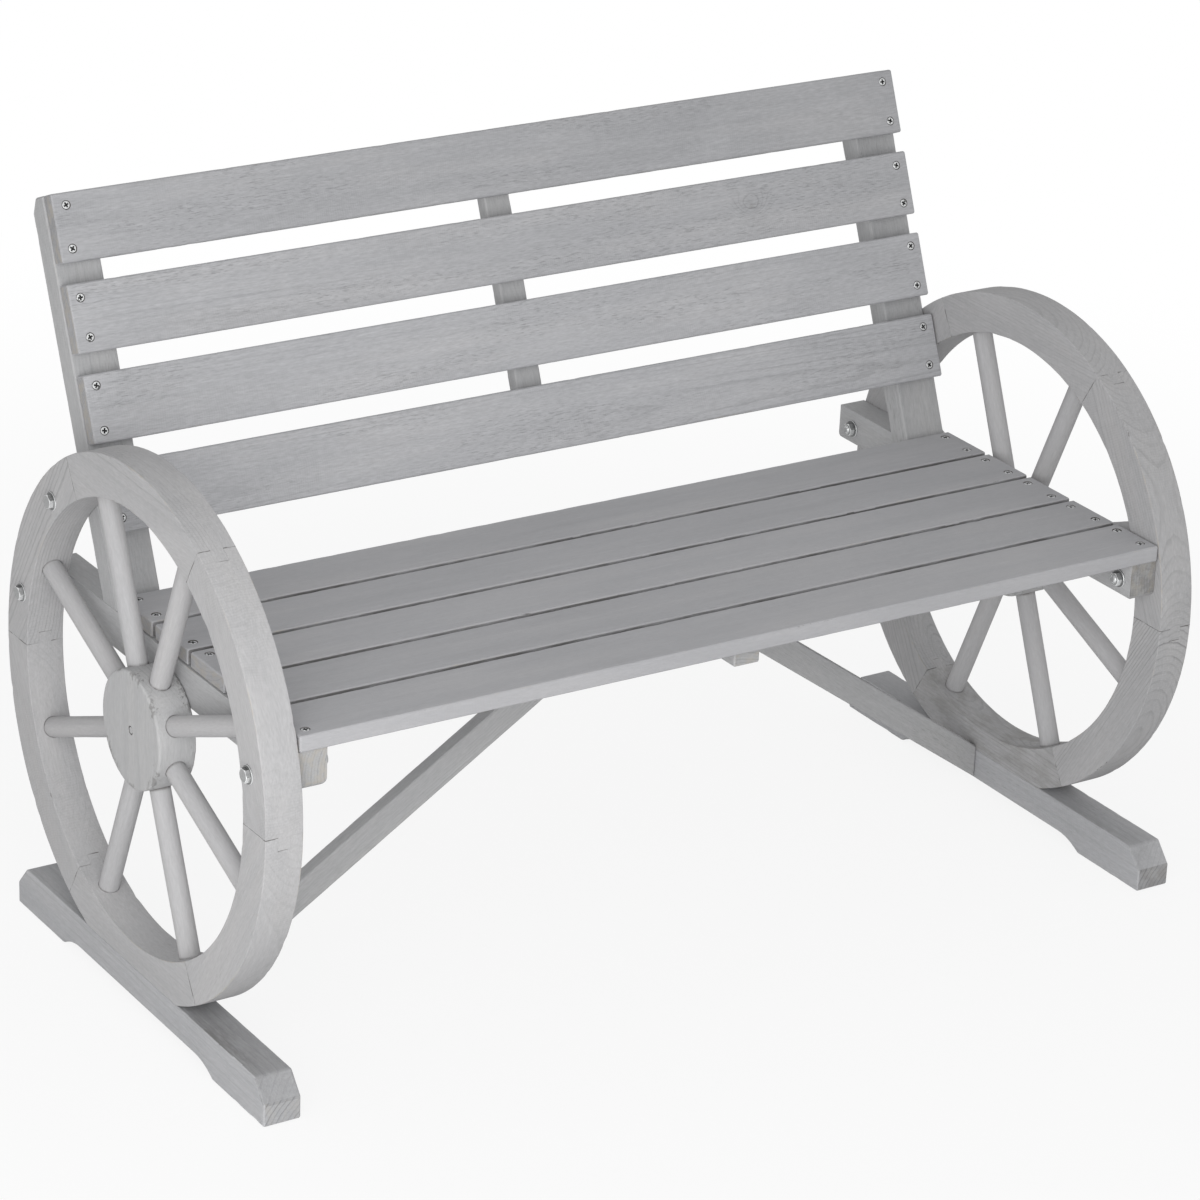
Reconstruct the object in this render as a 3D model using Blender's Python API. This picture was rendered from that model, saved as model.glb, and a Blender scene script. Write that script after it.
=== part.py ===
"""Wagon wheel bench: a slatted seat and a leaning slatted back, bolted between two spoked wooden wheels on skids.

Metres, +Z up. The bench faces -Y and its length runs along X. The origin is on the floor, under the middle of the
bench's outline.
"""

import math

import bmesh
import bpy
from mathutils import Matrix, Vector

# Overall sizes
BENCH_LENGTH = 1.080        # between the outer faces of the two wheels
SEAT_HEIGHT = 0.388         # top of the seat slats above the floor
SEAT_REACH = 0.2575         # front edge of the seat ahead of the wheels' axis
BACK_TILT = 22.7            # lean of the back from upright, in degrees
FIT = 0.0003                # clearance between pieces that touch
ARRIS = 0.0015              # eased edges of the sawn boards

# Wheels
WHEEL_DIAMETER = 0.540
WHEEL_WIDTH = 0.040
WHEEL_SETBACK = 0.010       # axis behind the middle of the skids
RIM_DEPTH = 0.044
RIM_FLAT = 0.018            # depth of the flat that the rim stands on
FELLOE_COUNT = 6
FINGER_LENGTH = 0.0125      # tongue of the joint between felloes
HUB_DIAMETER = 0.120
HUB_CHAMFER = 0.0015
HUB_CENTRE_HOLE = 0.009
HUB_CENTRE_DEPTH = 0.004
SPOKE_COUNT = 8
SPOKE_DIAMETER = 0.021
SPOKE_IN_HUB = 0.020
SPOKE_IN_RIM = 0.014

# Skids
SKID_LENGTH = 0.526
SKID_HEIGHT = 0.045
SKID_CHAMFER_RUN = 0.019
SKID_CHAMFER_DROP = 0.0215
FOOT_LENGTH = 0.103
RELIEF_HEIGHT = 0.011
RELIEF_RUN = 0.037
RELIEF_STEPS = 6

# Slats and battens
SLAT_WIDTH = 0.068
SLAT_THICKNESS = 0.017
SLAT_END_GAP = 0.0015       # between a slat's end and the wheel
SEAT_SLATS = 5
SEAT_GAP = 0.0055
BACK_SLATS = 4
BACK_GAP = 0.0205
BATTEN_WIDTH = 0.030
BATTEN_THICKNESS = 0.017
STILE_INSET = 0.008         # stile's ends inside the edges of the back
BEARER_INSET = 0.0095       # bearer's ends inside the edges of the seat

# Posts and rails
POST_WIDTH = 0.050
POST_DEPTH = 0.028
POST_GAP = 0.004            # between the rear seat slat and the posts, at the rails' top
POST_CHAMFER_DEPTH = 0.011
POST_CHAMFER_LENGTH = 0.014
BACK_LIFT = 0.075           # lowest back slat above the rails, along the slope
RAIL_THICKNESS = 0.032
RAIL_HEIGHT = 0.040
RAIL_ROUND = 0.008
RAIL_NOSE = 0.018           # rail ahead of its front bolt
RAIL_TAIL = 0.025           # rail behind its rear bolt

# Braces, by side: front face behind the skids' middle, and where the lower edge reaches the bearer's height
BRACE_FRONT = {"left": -0.044, "right": 0.024}
BRACE_HEAD = {"left": 0.038, "right": 0.0158}
BRACE_FOOT_RISE = 0.0015    # above the skid's relieved underside

# Bolts and nuts
BOLT_DIAMETER = 0.008
BOLT_INSET = 0.0275         # bolt circle inside the tread
BOLT_TAIL = 0.002           # thread that stands out of the nut
HEX_ACROSS = 0.013
HEAD_HEIGHT = 0.0045
NUT_HEIGHT = 0.0058
WASHER_DIAMETER = 0.019
WASHER_THICKNESS = 0.0014
COACH_SCREW_GRIP = 0.038    # length of screw inside the post

# Facets
ROUND_SIDES = 18
HUB_SIDES = 48
FELLOE_STEPS = 12

# Derived levels and lines
CLEAR_WIDTH = BENCH_LENGTH - 2 * WHEEL_WIDTH
WHEEL_RADIUS = WHEEL_DIAMETER / 2
RIM_INNER = WHEEL_RADIUS - RIM_DEPTH
HUB_RADIUS = HUB_DIAMETER / 2
AXIS = Vector((0, WHEEL_SETBACK, SKID_HEIGHT + FIT + WHEEL_RADIUS - RIM_FLAT))
SLAT_LENGTH = CLEAR_WIDTH - 2 * SLAT_END_GAP
SEAT_UNDERSIDE = SEAT_HEIGHT - SLAT_THICKNESS
RAIL_TOP = SEAT_UNDERSIDE - FIT
RAIL_BOTTOM = RAIL_TOP - RAIL_HEIGHT
RAIL_FACE = CLEAR_WIDTH / 2 - FIT
BEARER_UNDERSIDE = RAIL_TOP - BATTEN_THICKNESS
SEAT_FRONT = WHEEL_SETBACK - SEAT_REACH
SEAT_DEPTH = SEAT_SLATS * SLAT_WIDTH + (SEAT_SLATS - 1) * SEAT_GAP
SEAT_REAR = SEAT_FRONT + SEAT_DEPTH
TILT = math.radians(BACK_TILT)
BACK_STACK = BACK_SLATS * SLAT_WIDTH + (BACK_SLATS - 1) * BACK_GAP
BACK_TOP = BACK_LIFT + BACK_STACK
BACK_FOOT = Vector((0, SEAT_REAR + POST_GAP, RAIL_TOP))
SPOKE_START = HUB_RADIUS - SPOKE_IN_HUB
SPOKE_END = RIM_INNER + SPOKE_IN_RIM
BOLT_CIRCLE = WHEEL_RADIUS - BOLT_INSET
SIDES = {"left": -1, "right": 1}


def back_to_bench(y, z):
    """Bench position of a point y behind the posts' front face and z up its slope."""
    along = Vector((0, math.sin(TILT), math.cos(TILT)))
    behind = Vector((0, math.cos(TILT), -math.sin(TILT)))
    return BACK_FOOT + along * z + behind * y


def rail_bolt(direction):
    """Point of the bolt circle at the rails' middle height, ahead of (-1) or behind (1) the axis."""
    height = RAIL_TOP - RAIL_HEIGHT / 2
    reach = math.sqrt(BOLT_CIRCLE ** 2 - (height - AXIS.z) ** 2)
    return Vector((0, AXIS.y + direction * reach, height))


def post_bolt():
    """Upper point where the posts' middle line crosses the bolt circle."""
    start = back_to_bench(POST_DEPTH / 2, 0)
    along = back_to_bench(POST_DEPTH / 2, 1) - start
    offset = start - AXIS
    ahead = -offset.dot(along)
    reach = math.sqrt(ahead ** 2 - offset.length_squared + BOLT_CIRCLE ** 2)
    return start + along * (ahead + reach)


FRONT_BOLT = rail_bolt(-1)
REAR_BOLT = rail_bolt(1)
POST_BOLT = post_bolt()


def outline_middle():
    """Middle of the bench's outline from front to back."""
    front = min(-SKID_LENGTH / 2, SEAT_FRONT, AXIS.y - WHEEL_RADIUS)
    corner = back_to_bench(POST_DEPTH, BACK_TOP - POST_CHAMFER_LENGTH)
    tip = back_to_bench(POST_DEPTH - POST_CHAMFER_DEPTH, BACK_TOP)
    eased = corner + (tip - corner).normalized() * ARRIS
    rear = max(SKID_LENGTH / 2, AXIS.y + WHEEL_RADIUS, eased.y)
    return (front + rear) / 2


def new_material(name, color, roughness, metallic=0.0):
    material = bpy.data.materials.new(name)
    material.use_nodes = True
    shader = material.node_tree.nodes["Principled BSDF"]
    shader.inputs["Base Color"].default_value = (*color, 1.0)
    shader.inputs["Roughness"].default_value = roughness
    shader.inputs["Metallic"].default_value = metallic
    return material


def to_mesh(bm, name):
    bmesh.ops.recalc_face_normals(bm, faces=bm.faces)
    mesh = bpy.data.meshes.new(name)
    bm.to_mesh(mesh)
    bm.free()
    return mesh


def block(name, size):
    """A board with its middle at the origin."""
    bm = bmesh.new()
    bmesh.ops.create_cube(bm, size=1.0)
    bmesh.ops.scale(bm, vec=size, verts=bm.verts)
    return to_mesh(bm, name)


def prism(name, outline, depth):
    """A flat outline pushed along a vector."""
    bm = bmesh.new()
    face = bm.faces.new([bm.verts.new(point) for point in outline])
    grown = bmesh.ops.extrude_face_region(bm, geom=[face])
    moved = [item for item in grown["geom"] if isinstance(item, bmesh.types.BMVert)]
    bmesh.ops.translate(bm, vec=depth, verts=moved)
    return to_mesh(bm, name)


def ring(x, radius, sides=ROUND_SIDES):
    """A circle of points around the X axis."""
    turn = 2 * math.pi / sides
    return [Vector((x, radius * math.cos(i * turn), radius * math.sin(i * turn))) for i in range(sides)]


def hex_ring(x, across, sides=ROUND_SIDES):
    """Points around the X axis on a hexagon's outline."""
    points = ring(x, across / 2, sides)
    corner = math.pi / 3
    for i, point in enumerate(points):
        angle = (i * 2 * math.pi / sides + corner / 2) % corner - corner / 2
        point.yz = point.yz / math.cos(angle)
    return points


def loft_into(bm, rings, tube=False):
    """Skins rings of points; a tube closes on its first ring, anything else gets end caps."""
    rows = [[bm.verts.new(point) for point in points] for points in rings]
    pairs = list(zip(rows, rows[1:]))
    if tube:
        pairs.append((rows[-1], rows[0]))
    else:
        bm.faces.new(rows[0])
        bm.faces.new(rows[-1])
    for row, following in pairs:
        for i in range(len(row)):
            j = (i + 1) % len(row)
            bm.faces.new((row[i], row[j], following[j], following[i]))


def loft(name, rings, tube=False):
    bm = bmesh.new()
    loft_into(bm, rings, tube)
    return to_mesh(bm, name)


def add(name, mesh, material, parent, location=(0, 0, 0), rotation=(0, 0, 0)):
    piece = bpy.data.objects.new(name, mesh)
    bpy.context.scene.collection.objects.link(piece)
    if not mesh.materials:
        mesh.materials.append(material)
    piece.parent = parent
    piece.location = location
    piece.rotation_euler = rotation
    return piece


def add_empty(name, parent, location, rotation=(0, 0, 0)):
    empty = bpy.data.objects.new(name, None)
    bpy.context.scene.collection.objects.link(empty)
    empty.parent = parent
    empty.location = location
    empty.rotation_euler = rotation
    return empty


def add_cutter(name, mesh, parent):
    cutter = add(name, mesh, None, parent)
    cutter.hide_render = True
    cutter.display_type = "WIRE"
    return cutter


def ease_edges(piece):
    """Takes the sharp arris off a board."""
    bevel = piece.modifiers.new("arris", "BEVEL")
    bevel.width = ARRIS
    bevel.segments = 1
    bevel.limit_method = "ANGLE"
    bevel.angle_limit = math.radians(30)


def cut(piece, *cutters):
    for cutter in cutters:
        boolean = piece.modifiers.new(cutter.name, "BOOLEAN")
        boolean.operation = "DIFFERENCE"
        boolean.solver = "EXACT"
        boolean.object = cutter


def smooth_round(mesh):
    mesh.shade_smooth()
    mesh.set_sharp_from_angle(angle=math.radians(35))


def felloe_mesh():
    """One sixth of the rim, from its slotted end along +Y round towards +Z, with a tongue on its far end.

    Both ends step in three layers across the rim: the middle layer lies one finger further round than the others.
    """
    middle = WHEEL_RADIUS - RIM_DEPTH / 2
    finger = FINGER_LENGTH / middle
    body = 2 * math.pi / FELLOE_COUNT - finger - FIT / middle
    layer = WHEEL_WIDTH / 6
    stations = (-WHEEL_WIDTH / 2, -layer, layer, WHEEL_WIDTH / 2)
    bm = bmesh.new()

    def turn(verts, angle):
        bmesh.ops.rotate(bm, verts=verts, cent=(0, 0, 0), matrix=Matrix.Rotation(angle, 3, "X"))

    def push(faces, angle, open_start=True):
        """Grows faces round the axis and gives back their far ends, in order across the rim."""
        grown = bmesh.ops.extrude_face_region(bm, geom=faces)["geom"]
        turn([item for item in grown if isinstance(item, bmesh.types.BMVert)], angle)
        ends = [item for item in grown if isinstance(item, bmesh.types.BMFace)]
        if open_start:
            bmesh.ops.delete(bm, geom=faces, context="FACES")
        return sorted(ends, key=lambda face: face.calc_center_median().x)

    inner = [bm.verts.new((x, RIM_INNER, 0)) for x in stations]
    outer = [bm.verts.new((x, WHEEL_RADIUS, 0)) for x in stations]
    near = [bm.faces.new((inner[i], inner[i + 1], outer[i + 1], outer[i])) for i in range(3)]
    turn(bm.verts, finger)
    far = push(near, body / FELLOE_STEPS, open_start=False)
    for _ in range(FELLOE_STEPS - 1):
        far = push(far, body / FELLOE_STEPS)
    for vert in far[1].verts:
        vert.co.x -= math.copysign(FIT, vert.co.x)
    push([far[1]], finger)
    for cheek in (near[0], near[2]):
        push([cheek], -finger)
    return to_mesh(bm, "felloe")


def spoke_mesh():
    """A dowel along +Y from its end in the hub to its end in the rim, with both ends chamfered."""
    radius = SPOKE_DIAMETER / 2
    start = SPOKE_START + FIT
    end = SPOKE_END - FIT
    rings = [ring(start, radius - ARRIS), ring(start + ARRIS, radius), ring(end - ARRIS, radius)]
    rings.append(ring(end, radius - ARRIS))
    mesh = loft("spoke", rings)
    mesh.transform(Matrix.Rotation(math.pi / 2, 4, "Z"))
    smooth_round(mesh)
    return mesh


def socket_mesh():
    """The holes of all the spokes of a wheel, in hub and rim."""
    bm = bmesh.new()
    radius = SPOKE_DIAMETER / 2 + FIT
    for k in range(SPOKE_COUNT):
        turned = Matrix.Rotation(spoke_angle(k), 4, "X") @ Matrix.Rotation(math.pi / 2, 4, "Z")
        rings = [[turned @ point for point in ring(reach, radius)] for reach in (SPOKE_START, SPOKE_END)]
        loft_into(bm, rings)
    return to_mesh(bm, "sockets")


def spoke_angle(k):
    return (k + 0.5) * 2 * math.pi / SPOKE_COUNT


def hub_mesh(side):
    """A turned disc with a small centre hole in its outer face."""
    half = WHEEL_WIDTH / 2
    inside = HUB_RADIUS - HUB_CHAMFER
    hole = HUB_CENTRE_HOLE / 2
    rings = [(-half, inside), (-half + HUB_CHAMFER, HUB_RADIUS), (half - HUB_CHAMFER, HUB_RADIUS), (half, inside)]
    rings += [(half, hole), (half - HUB_CENTRE_DEPTH, hole)]
    mesh = loft("hub", [ring(side * x, radius, HUB_SIDES) for x, radius in rings])
    smooth_round(mesh)
    return mesh


def bolt_mesh(name, grip):
    """Hexagon bolt along +X: head and washer at the start, then a shank of the given length."""
    shank = BOLT_DIAMETER / 2
    washer = WASHER_DIAMETER / 2
    rings = [ring(-WASHER_THICKNESS - HEAD_HEIGHT, HEX_ACROSS / 2)]
    rings.append(hex_ring(-WASHER_THICKNESS - HEAD_HEIGHT + ARRIS / 2, HEX_ACROSS))
    rings.append(hex_ring(-WASHER_THICKNESS, HEX_ACROSS))
    rings += [ring(-WASHER_THICKNESS, washer), ring(-FIT, washer), ring(-FIT, shank)]
    rings += [ring(grip - ARRIS, shank), ring(grip, shank - ARRIS)]
    return loft(name, rings)


def nut_mesh():
    """Hexagon nut and its washer, with the bolt's hole through both, standing along +X on the rail's face."""
    bore = BOLT_DIAMETER / 2 + FIT
    washer = WASHER_DIAMETER / 2
    top = FIT + WASHER_THICKNESS + NUT_HEIGHT
    rings = [ring(FIT, bore), ring(FIT, washer), ring(FIT + WASHER_THICKNESS, washer)]
    rings += [hex_ring(FIT + WASHER_THICKNESS, HEX_ACROSS), hex_ring(top - ARRIS / 2, HEX_ACROSS)]
    rings += [ring(top, HEX_ACROSS / 2), ring(top, bore)]
    return loft("nut", rings, tube=True)


def skid_mesh():
    """Side outline of a skid: chamfered top ends, and a long shallow relief between its two feet."""
    half = SKID_LENGTH / 2
    foot = half - FOOT_LENGTH
    bend = 2 * math.atan2(RELIEF_HEIGHT, RELIEF_RUN)
    radius = RELIEF_RUN / math.sin(bend)
    cove = []
    for i in range(RELIEF_STEPS + 1):
        angle = bend * (1 - i / RELIEF_STEPS)
        run = RELIEF_RUN - radius * math.sin(angle)
        rise = RELIEF_HEIGHT - radius * (1 - math.cos(angle))
        cove.append((foot - run, rise))
    rear = [(half, 0), *[(y, z) for y, z in cove]]
    front = [(-y, z) for y, z in reversed(rear)]
    top = [(-half, SKID_HEIGHT - SKID_CHAMFER_DROP), (-half + SKID_CHAMFER_RUN, SKID_HEIGHT)]
    top += [(half - SKID_CHAMFER_RUN, SKID_HEIGHT), (half, SKID_HEIGHT - SKID_CHAMFER_DROP)]
    outline = [Vector((-WHEEL_WIDTH / 2, y, z)) for y, z in rear + front + top]
    return prism("skid", outline, Vector((WHEEL_WIDTH, 0, 0)))


def rail_mesh(side):
    """Seat rail with its lower front edge and its lower inner edge rounded over."""
    front = FRONT_BOLT.y - RAIL_NOSE
    rear = REAR_BOLT.y + RAIL_TAIL
    bm = bmesh.new()
    bmesh.ops.create_cube(bm, size=1.0)
    bmesh.ops.scale(bm, vec=(RAIL_THICKNESS, rear - front, RAIL_HEIGHT), verts=bm.verts)
    middle = Vector((side * (RAIL_FACE - RAIL_THICKNESS / 2), (front + rear) / 2, RAIL_TOP - RAIL_HEIGHT / 2))
    bmesh.ops.translate(bm, vec=middle, verts=bm.verts)
    rounded = []
    for edge in bm.edges:
        centre = (edge.verts[0].co + edge.verts[1].co) / 2 - middle
        low = centre.z < -RAIL_HEIGHT / 4
        at_front = centre.y < (front - rear) / 4
        at_inside = side * centre.x < -RAIL_THICKNESS / 4
        if low and at_front != at_inside:
            rounded.append(edge)
    bmesh.ops.bevel(bm, geom=rounded, offset=RAIL_ROUND, segments=4, profile=0.5, affect="EDGES")
    return to_mesh(bm, "rail")


def post_mesh(side):
    """Back post in the back's own frame, its foot sawn level with the rail's underside."""
    def foot(y):
        return (y * math.sin(TILT) - RAIL_HEIGHT) / math.cos(TILT)

    outline = [(0, foot(0)), (POST_DEPTH, foot(POST_DEPTH)), (POST_DEPTH, BACK_TOP - POST_CHAMFER_LENGTH)]
    outline += [(POST_DEPTH - POST_CHAMFER_DEPTH, BACK_TOP), (0, BACK_TOP)]
    start = min(side * RAIL_FACE, side * (RAIL_FACE - POST_WIDTH))
    points = [Vector((start, y, z)) for y, z in outline]
    return prism("post", points, Vector((POST_WIDTH, 0, 0)))


def keep_inside(polygon, normal, limit):
    """The part of a convex polygon where the point's component along normal is at most limit."""
    kept = []
    for current, following in zip(polygon, polygon[1:] + polygon[:1]):
        here = current.dot(normal) - limit
        there = following.dot(normal) - limit
        if here <= 0:
            kept.append(current)
        if here * there < 0:
            kept.append(current.lerp(following, here / (here - there)))
    return kept


def brace_mesh(label):
    """Diagonal batten, its foot sawn upright against the skid and its head sawn to fit under the seat."""
    side = SIDES[label]
    across = Vector((side, 0))
    up = Vector((0, 1))
    foot = Vector((side * RAIL_FACE, RELIEF_HEIGHT + BRACE_FOOT_RISE))
    head = Vector((BRACE_HEAD[label], BEARER_UNDERSIDE))
    along = (head - foot).normalized()
    rise = Vector((along.y, -along.x)) * side * BATTEN_WIDTH
    spare = along * BATTEN_WIDTH * 4
    strip = [foot - spare, head + spare, head + spare + rise, foot - spare + rise]
    strip = keep_inside(strip, across, RAIL_FACE)
    if label == "left":
        strip = keep_inside(strip, up, BEARER_UNDERSIDE - FIT)
    else:
        strip = keep_inside(strip, up, SEAT_UNDERSIDE - FIT)
        strip = keep_inside(strip, -across, -BATTEN_WIDTH / 2 - FIT)
    points = [Vector((x, BRACE_FRONT[label], z)) for x, z in strip]
    return prism("brace_" + label, points, Vector((0, BATTEN_THICKNESS, 0)))


def bolt_hole_mesh(side):
    """Clearance holes of one side's bolts: two through rim and rail, one blind in the post."""
    bm = bmesh.new()
    radius = BOLT_DIAMETER / 2 + FIT
    outer = side * (BENCH_LENGTH / 2 + WHEEL_WIDTH)
    through = side * (RAIL_FACE - 2 * RAIL_THICKNESS)
    blind = side * (RAIL_FACE - COACH_SCREW_GRIP - FIT)
    for spot, inner in ((FRONT_BOLT, through), (REAR_BOLT, through), (POST_BOLT, blind)):
        loft_into(bm, [[point + spot for point in ring(x, radius)] for x in (outer, inner)])
    return to_mesh(bm, "bolt_holes")


def add_wheel(label, bench, paints, bolt_holes):
    """Hub, spokes and felloes of one wheel around an empty at its middle."""
    side = SIDES[label]
    middle = AXIS + Vector((side * (BENCH_LENGTH - WHEEL_WIDTH) / 2, 0, 0))
    wheel = add_empty("wheel_" + label, bench, middle)
    sockets = add_cutter("sockets_" + label, socket_mesh(), wheel)
    reach = WHEEL_RADIUS * 1.2
    depth = AXIS.z - SKID_HEIGHT - FIT
    corners = [(-reach, -reach), (-reach, -depth), (reach, -depth), (reach, -reach)]
    base = prism("flat", [Vector((-WHEEL_WIDTH, y, z)) for y, z in corners], Vector((2 * WHEEL_WIDTH, 0, 0)))
    flat = add_cutter("flat_" + label, base, wheel)
    hub = add("hub_" + label, hub_mesh(side), paints["hub"], wheel)
    cut(hub, sockets)
    spoke = spoke_mesh()
    for k in range(SPOKE_COUNT):
        add(f"spoke_{label}_{k + 1}", spoke, paints["spoke"], wheel, rotation=(spoke_angle(k), 0, 0))
    felloe = felloe_mesh()
    smooth_round(felloe)
    for k in range(FELLOE_COUNT):
        turn = k * 2 * math.pi / FELLOE_COUNT
        piece = add(f"felloe_{label}_{k + 1}", felloe, paints["rim"], wheel, rotation=(turn, 0, 0))
        cut(piece, sockets, bolt_holes, flat)


def add_side(label, bench, back, paints):
    """Wheel, skid, rail, post, brace and hardware of one side."""
    side = SIDES[label]
    bolt_holes = add_cutter("bolt_holes_" + label, bolt_hole_mesh(side), bench)
    add_wheel(label, bench, paints, bolt_holes)
    skid_x = side * (BENCH_LENGTH - WHEEL_WIDTH) / 2
    skid = add("skid_" + label, skid_mesh(), paints["skid"], bench, location=(skid_x, 0, 0))
    ease_edges(skid)
    rail = add("rail_" + label, rail_mesh(side), paints["frame"], bench)
    cut(rail, bolt_holes)
    notch_length = Vector((0, SKID_LENGTH, 0))
    inner = side * (RAIL_FACE - RAIL_THICKNESS - FIT)
    outer = side * (RAIL_FACE + RAIL_THICKNESS)
    low = RAIL_BOTTOM - RAIL_HEIGHT
    high = RAIL_TOP + FIT
    corners = [(inner, low), (outer, low), (outer, high), (inner, high)]
    start = BACK_FOOT.y - SKID_LENGTH / 2
    notch = prism("notch", [Vector((x, start, z)) for x, z in corners], notch_length)
    rail_notch = add_cutter("rail_notch_" + label, notch, bench)
    post = add("post_" + label, post_mesh(side), paints["frame"], back)
    ease_edges(post)
    cut(post, rail_notch, bolt_holes)
    brace = add("brace_" + label, brace_mesh(label), paints["frame"], bench)
    ease_edges(brace)
    add_hardware(label, bench, paints)


def add_hardware(label, bench, paints):
    """Bolts from the wheel's outer face, and nuts on the rail's inner face."""
    side = SIDES[label]
    inward = (0, 0, math.pi) if side > 0 else (0, 0, 0)
    face = Vector((side * BENCH_LENGTH / 2, 0, 0))
    seat = Vector((side * (RAIL_FACE - RAIL_THICKNESS), 0, 0))
    through = WHEEL_WIDTH + FIT + RAIL_THICKNESS + WASHER_THICKNESS + NUT_HEIGHT + BOLT_TAIL
    rail_bolt_mesh = bolt_mesh("rail_bolt", through)
    nut = nut_mesh()
    for name, spot in (("front", FRONT_BOLT), ("rear", REAR_BOLT)):
        add(f"bolt_{label}_{name}", rail_bolt_mesh, paints["zinc"], bench, face + spot, inward)
        add(f"nut_{label}_{name}", nut, paints["zinc"], bench, seat + spot, inward)
    coach_screw = bolt_mesh("coach_screw", WHEEL_WIDTH + FIT + COACH_SCREW_GRIP - FIT)
    add(f"bolt_{label}_post", coach_screw, paints["zinc"], bench, face + POST_BOLT, inward)


def add_slats(bench, back, paints):
    """Seat slats from the rear forwards, back slats from the top down, and the battens behind and under them."""
    size = (SLAT_LENGTH, SLAT_THICKNESS, SLAT_WIDTH)
    seat_slat = block("seat_slat", size)
    back_slat = block("back_slat", size)
    for k in range(SEAT_SLATS):
        y = SEAT_REAR - SLAT_WIDTH / 2 - k * (SLAT_WIDTH + SEAT_GAP)
        spot = (0, y, SEAT_HEIGHT - SLAT_THICKNESS / 2)
        slat = add(f"seat_slat_{k + 1}", seat_slat, paints["seat"], bench, spot, (math.pi / 2, 0, 0))
        ease_edges(slat)
    for k in range(BACK_SLATS):
        z = BACK_TOP - SLAT_WIDTH / 2 - k * (SLAT_WIDTH + BACK_GAP)
        spot = (0, -FIT - SLAT_THICKNESS / 2, z)
        slat = add(f"back_slat_{k + 1}", back_slat, paints["back"], back, spot)
        ease_edges(slat)
    height = BACK_STACK - 2 * STILE_INSET
    stile = block("back_stile", (BATTEN_WIDTH, BATTEN_THICKNESS, height))
    spot = (0, BATTEN_THICKNESS / 2, BACK_TOP - BACK_STACK / 2)
    ease_edges(add("back_stile", stile, paints["frame"], back, spot))
    length = SEAT_DEPTH - 2 * BEARER_INSET
    bearer = block("seat_bearer", (BATTEN_WIDTH, length, BATTEN_THICKNESS))
    spot = (0, (SEAT_FRONT + SEAT_REAR) / 2, RAIL_TOP - BATTEN_THICKNESS / 2)
    ease_edges(add("seat_bearer", bearer, paints["frame"], bench, spot))


def main():
    for old in list(bpy.data.objects):
        bpy.data.objects.remove(old)
    paints = {
        "seat": new_material("seat_slats_grey", (0.31, 0.31, 0.32), 0.72),
        "back": new_material("back_slats_grey", (0.40, 0.40, 0.41), 0.75),
        "frame": new_material("frame_grey", (0.38, 0.38, 0.38), 0.78),
        "skid": new_material("skid_grey", (0.40, 0.39, 0.39), 0.78),
        "rim": new_material("rim_grey", (0.46, 0.45, 0.45), 0.75),
        "spoke": new_material("spoke_grey", (0.45, 0.44, 0.44), 0.70),
        "hub": new_material("hub_grey", (0.44, 0.43, 0.43), 0.75),
        "zinc": new_material("zinc_plate", (0.62, 0.65, 0.66), 0.32, 1.0),
    }
    bench = add_empty("bench", None, (0, -outline_middle(), 0))
    back = add_empty("back", bench, BACK_FOOT, (-TILT, 0, 0))
    add_slats(bench, back, paints)
    for label in SIDES:
        add_side(label, bench, back, paints)


main()
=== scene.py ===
"""Looks of a wagon wheel bench: grey-washed boards, spoked wheels, skids and zinc hardware.

The file is laid out as an add-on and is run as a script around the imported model.
"""

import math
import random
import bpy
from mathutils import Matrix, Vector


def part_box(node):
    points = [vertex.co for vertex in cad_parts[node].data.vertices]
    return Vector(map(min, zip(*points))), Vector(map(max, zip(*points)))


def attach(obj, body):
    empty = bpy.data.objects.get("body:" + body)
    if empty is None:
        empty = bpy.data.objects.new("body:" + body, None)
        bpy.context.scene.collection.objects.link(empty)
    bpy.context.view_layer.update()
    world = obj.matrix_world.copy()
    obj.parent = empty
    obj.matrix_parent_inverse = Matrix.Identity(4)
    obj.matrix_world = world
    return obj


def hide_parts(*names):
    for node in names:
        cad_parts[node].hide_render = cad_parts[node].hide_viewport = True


bl_info = {
    "name": "Wagon wheel bench",
    "version": (1, 0, 0),
    "blender": (4, 5, 0),
    "location": "View3D > Sidebar > Bench",
    "description": "Grey-washed boards, spoked wheels, skids and zinc hardware of a garden bench",
    "category": "Object",
}

from collections import namedtuple

import bmesh
import bpy
import numpy as np
from mathutils import Matrix, Vector, noise

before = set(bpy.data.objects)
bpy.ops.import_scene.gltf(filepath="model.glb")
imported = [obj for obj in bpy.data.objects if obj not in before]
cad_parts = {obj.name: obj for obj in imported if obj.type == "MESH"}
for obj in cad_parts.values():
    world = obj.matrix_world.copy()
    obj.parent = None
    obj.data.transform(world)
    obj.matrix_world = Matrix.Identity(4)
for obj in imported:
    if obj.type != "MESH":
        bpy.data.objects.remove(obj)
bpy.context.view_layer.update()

SIDES = {"left": -1, "right": 1}
BODY = "root"
FULL_TURN = 2 * math.pi

# Directions of the bench and of its leaning back
RIGHT = Vector((1, 0, 0))
REAR = Vector((0, 1, 0))
UP = Vector((0, 0, 1))
X_TO_UP = RIGHT.rotation_difference(UP).to_matrix()
BACK_LEAN = math.radians(22.7)
UP_THE_BACK = Vector((0, math.sin(BACK_LEAN), math.cos(BACK_LEAN)))

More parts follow.
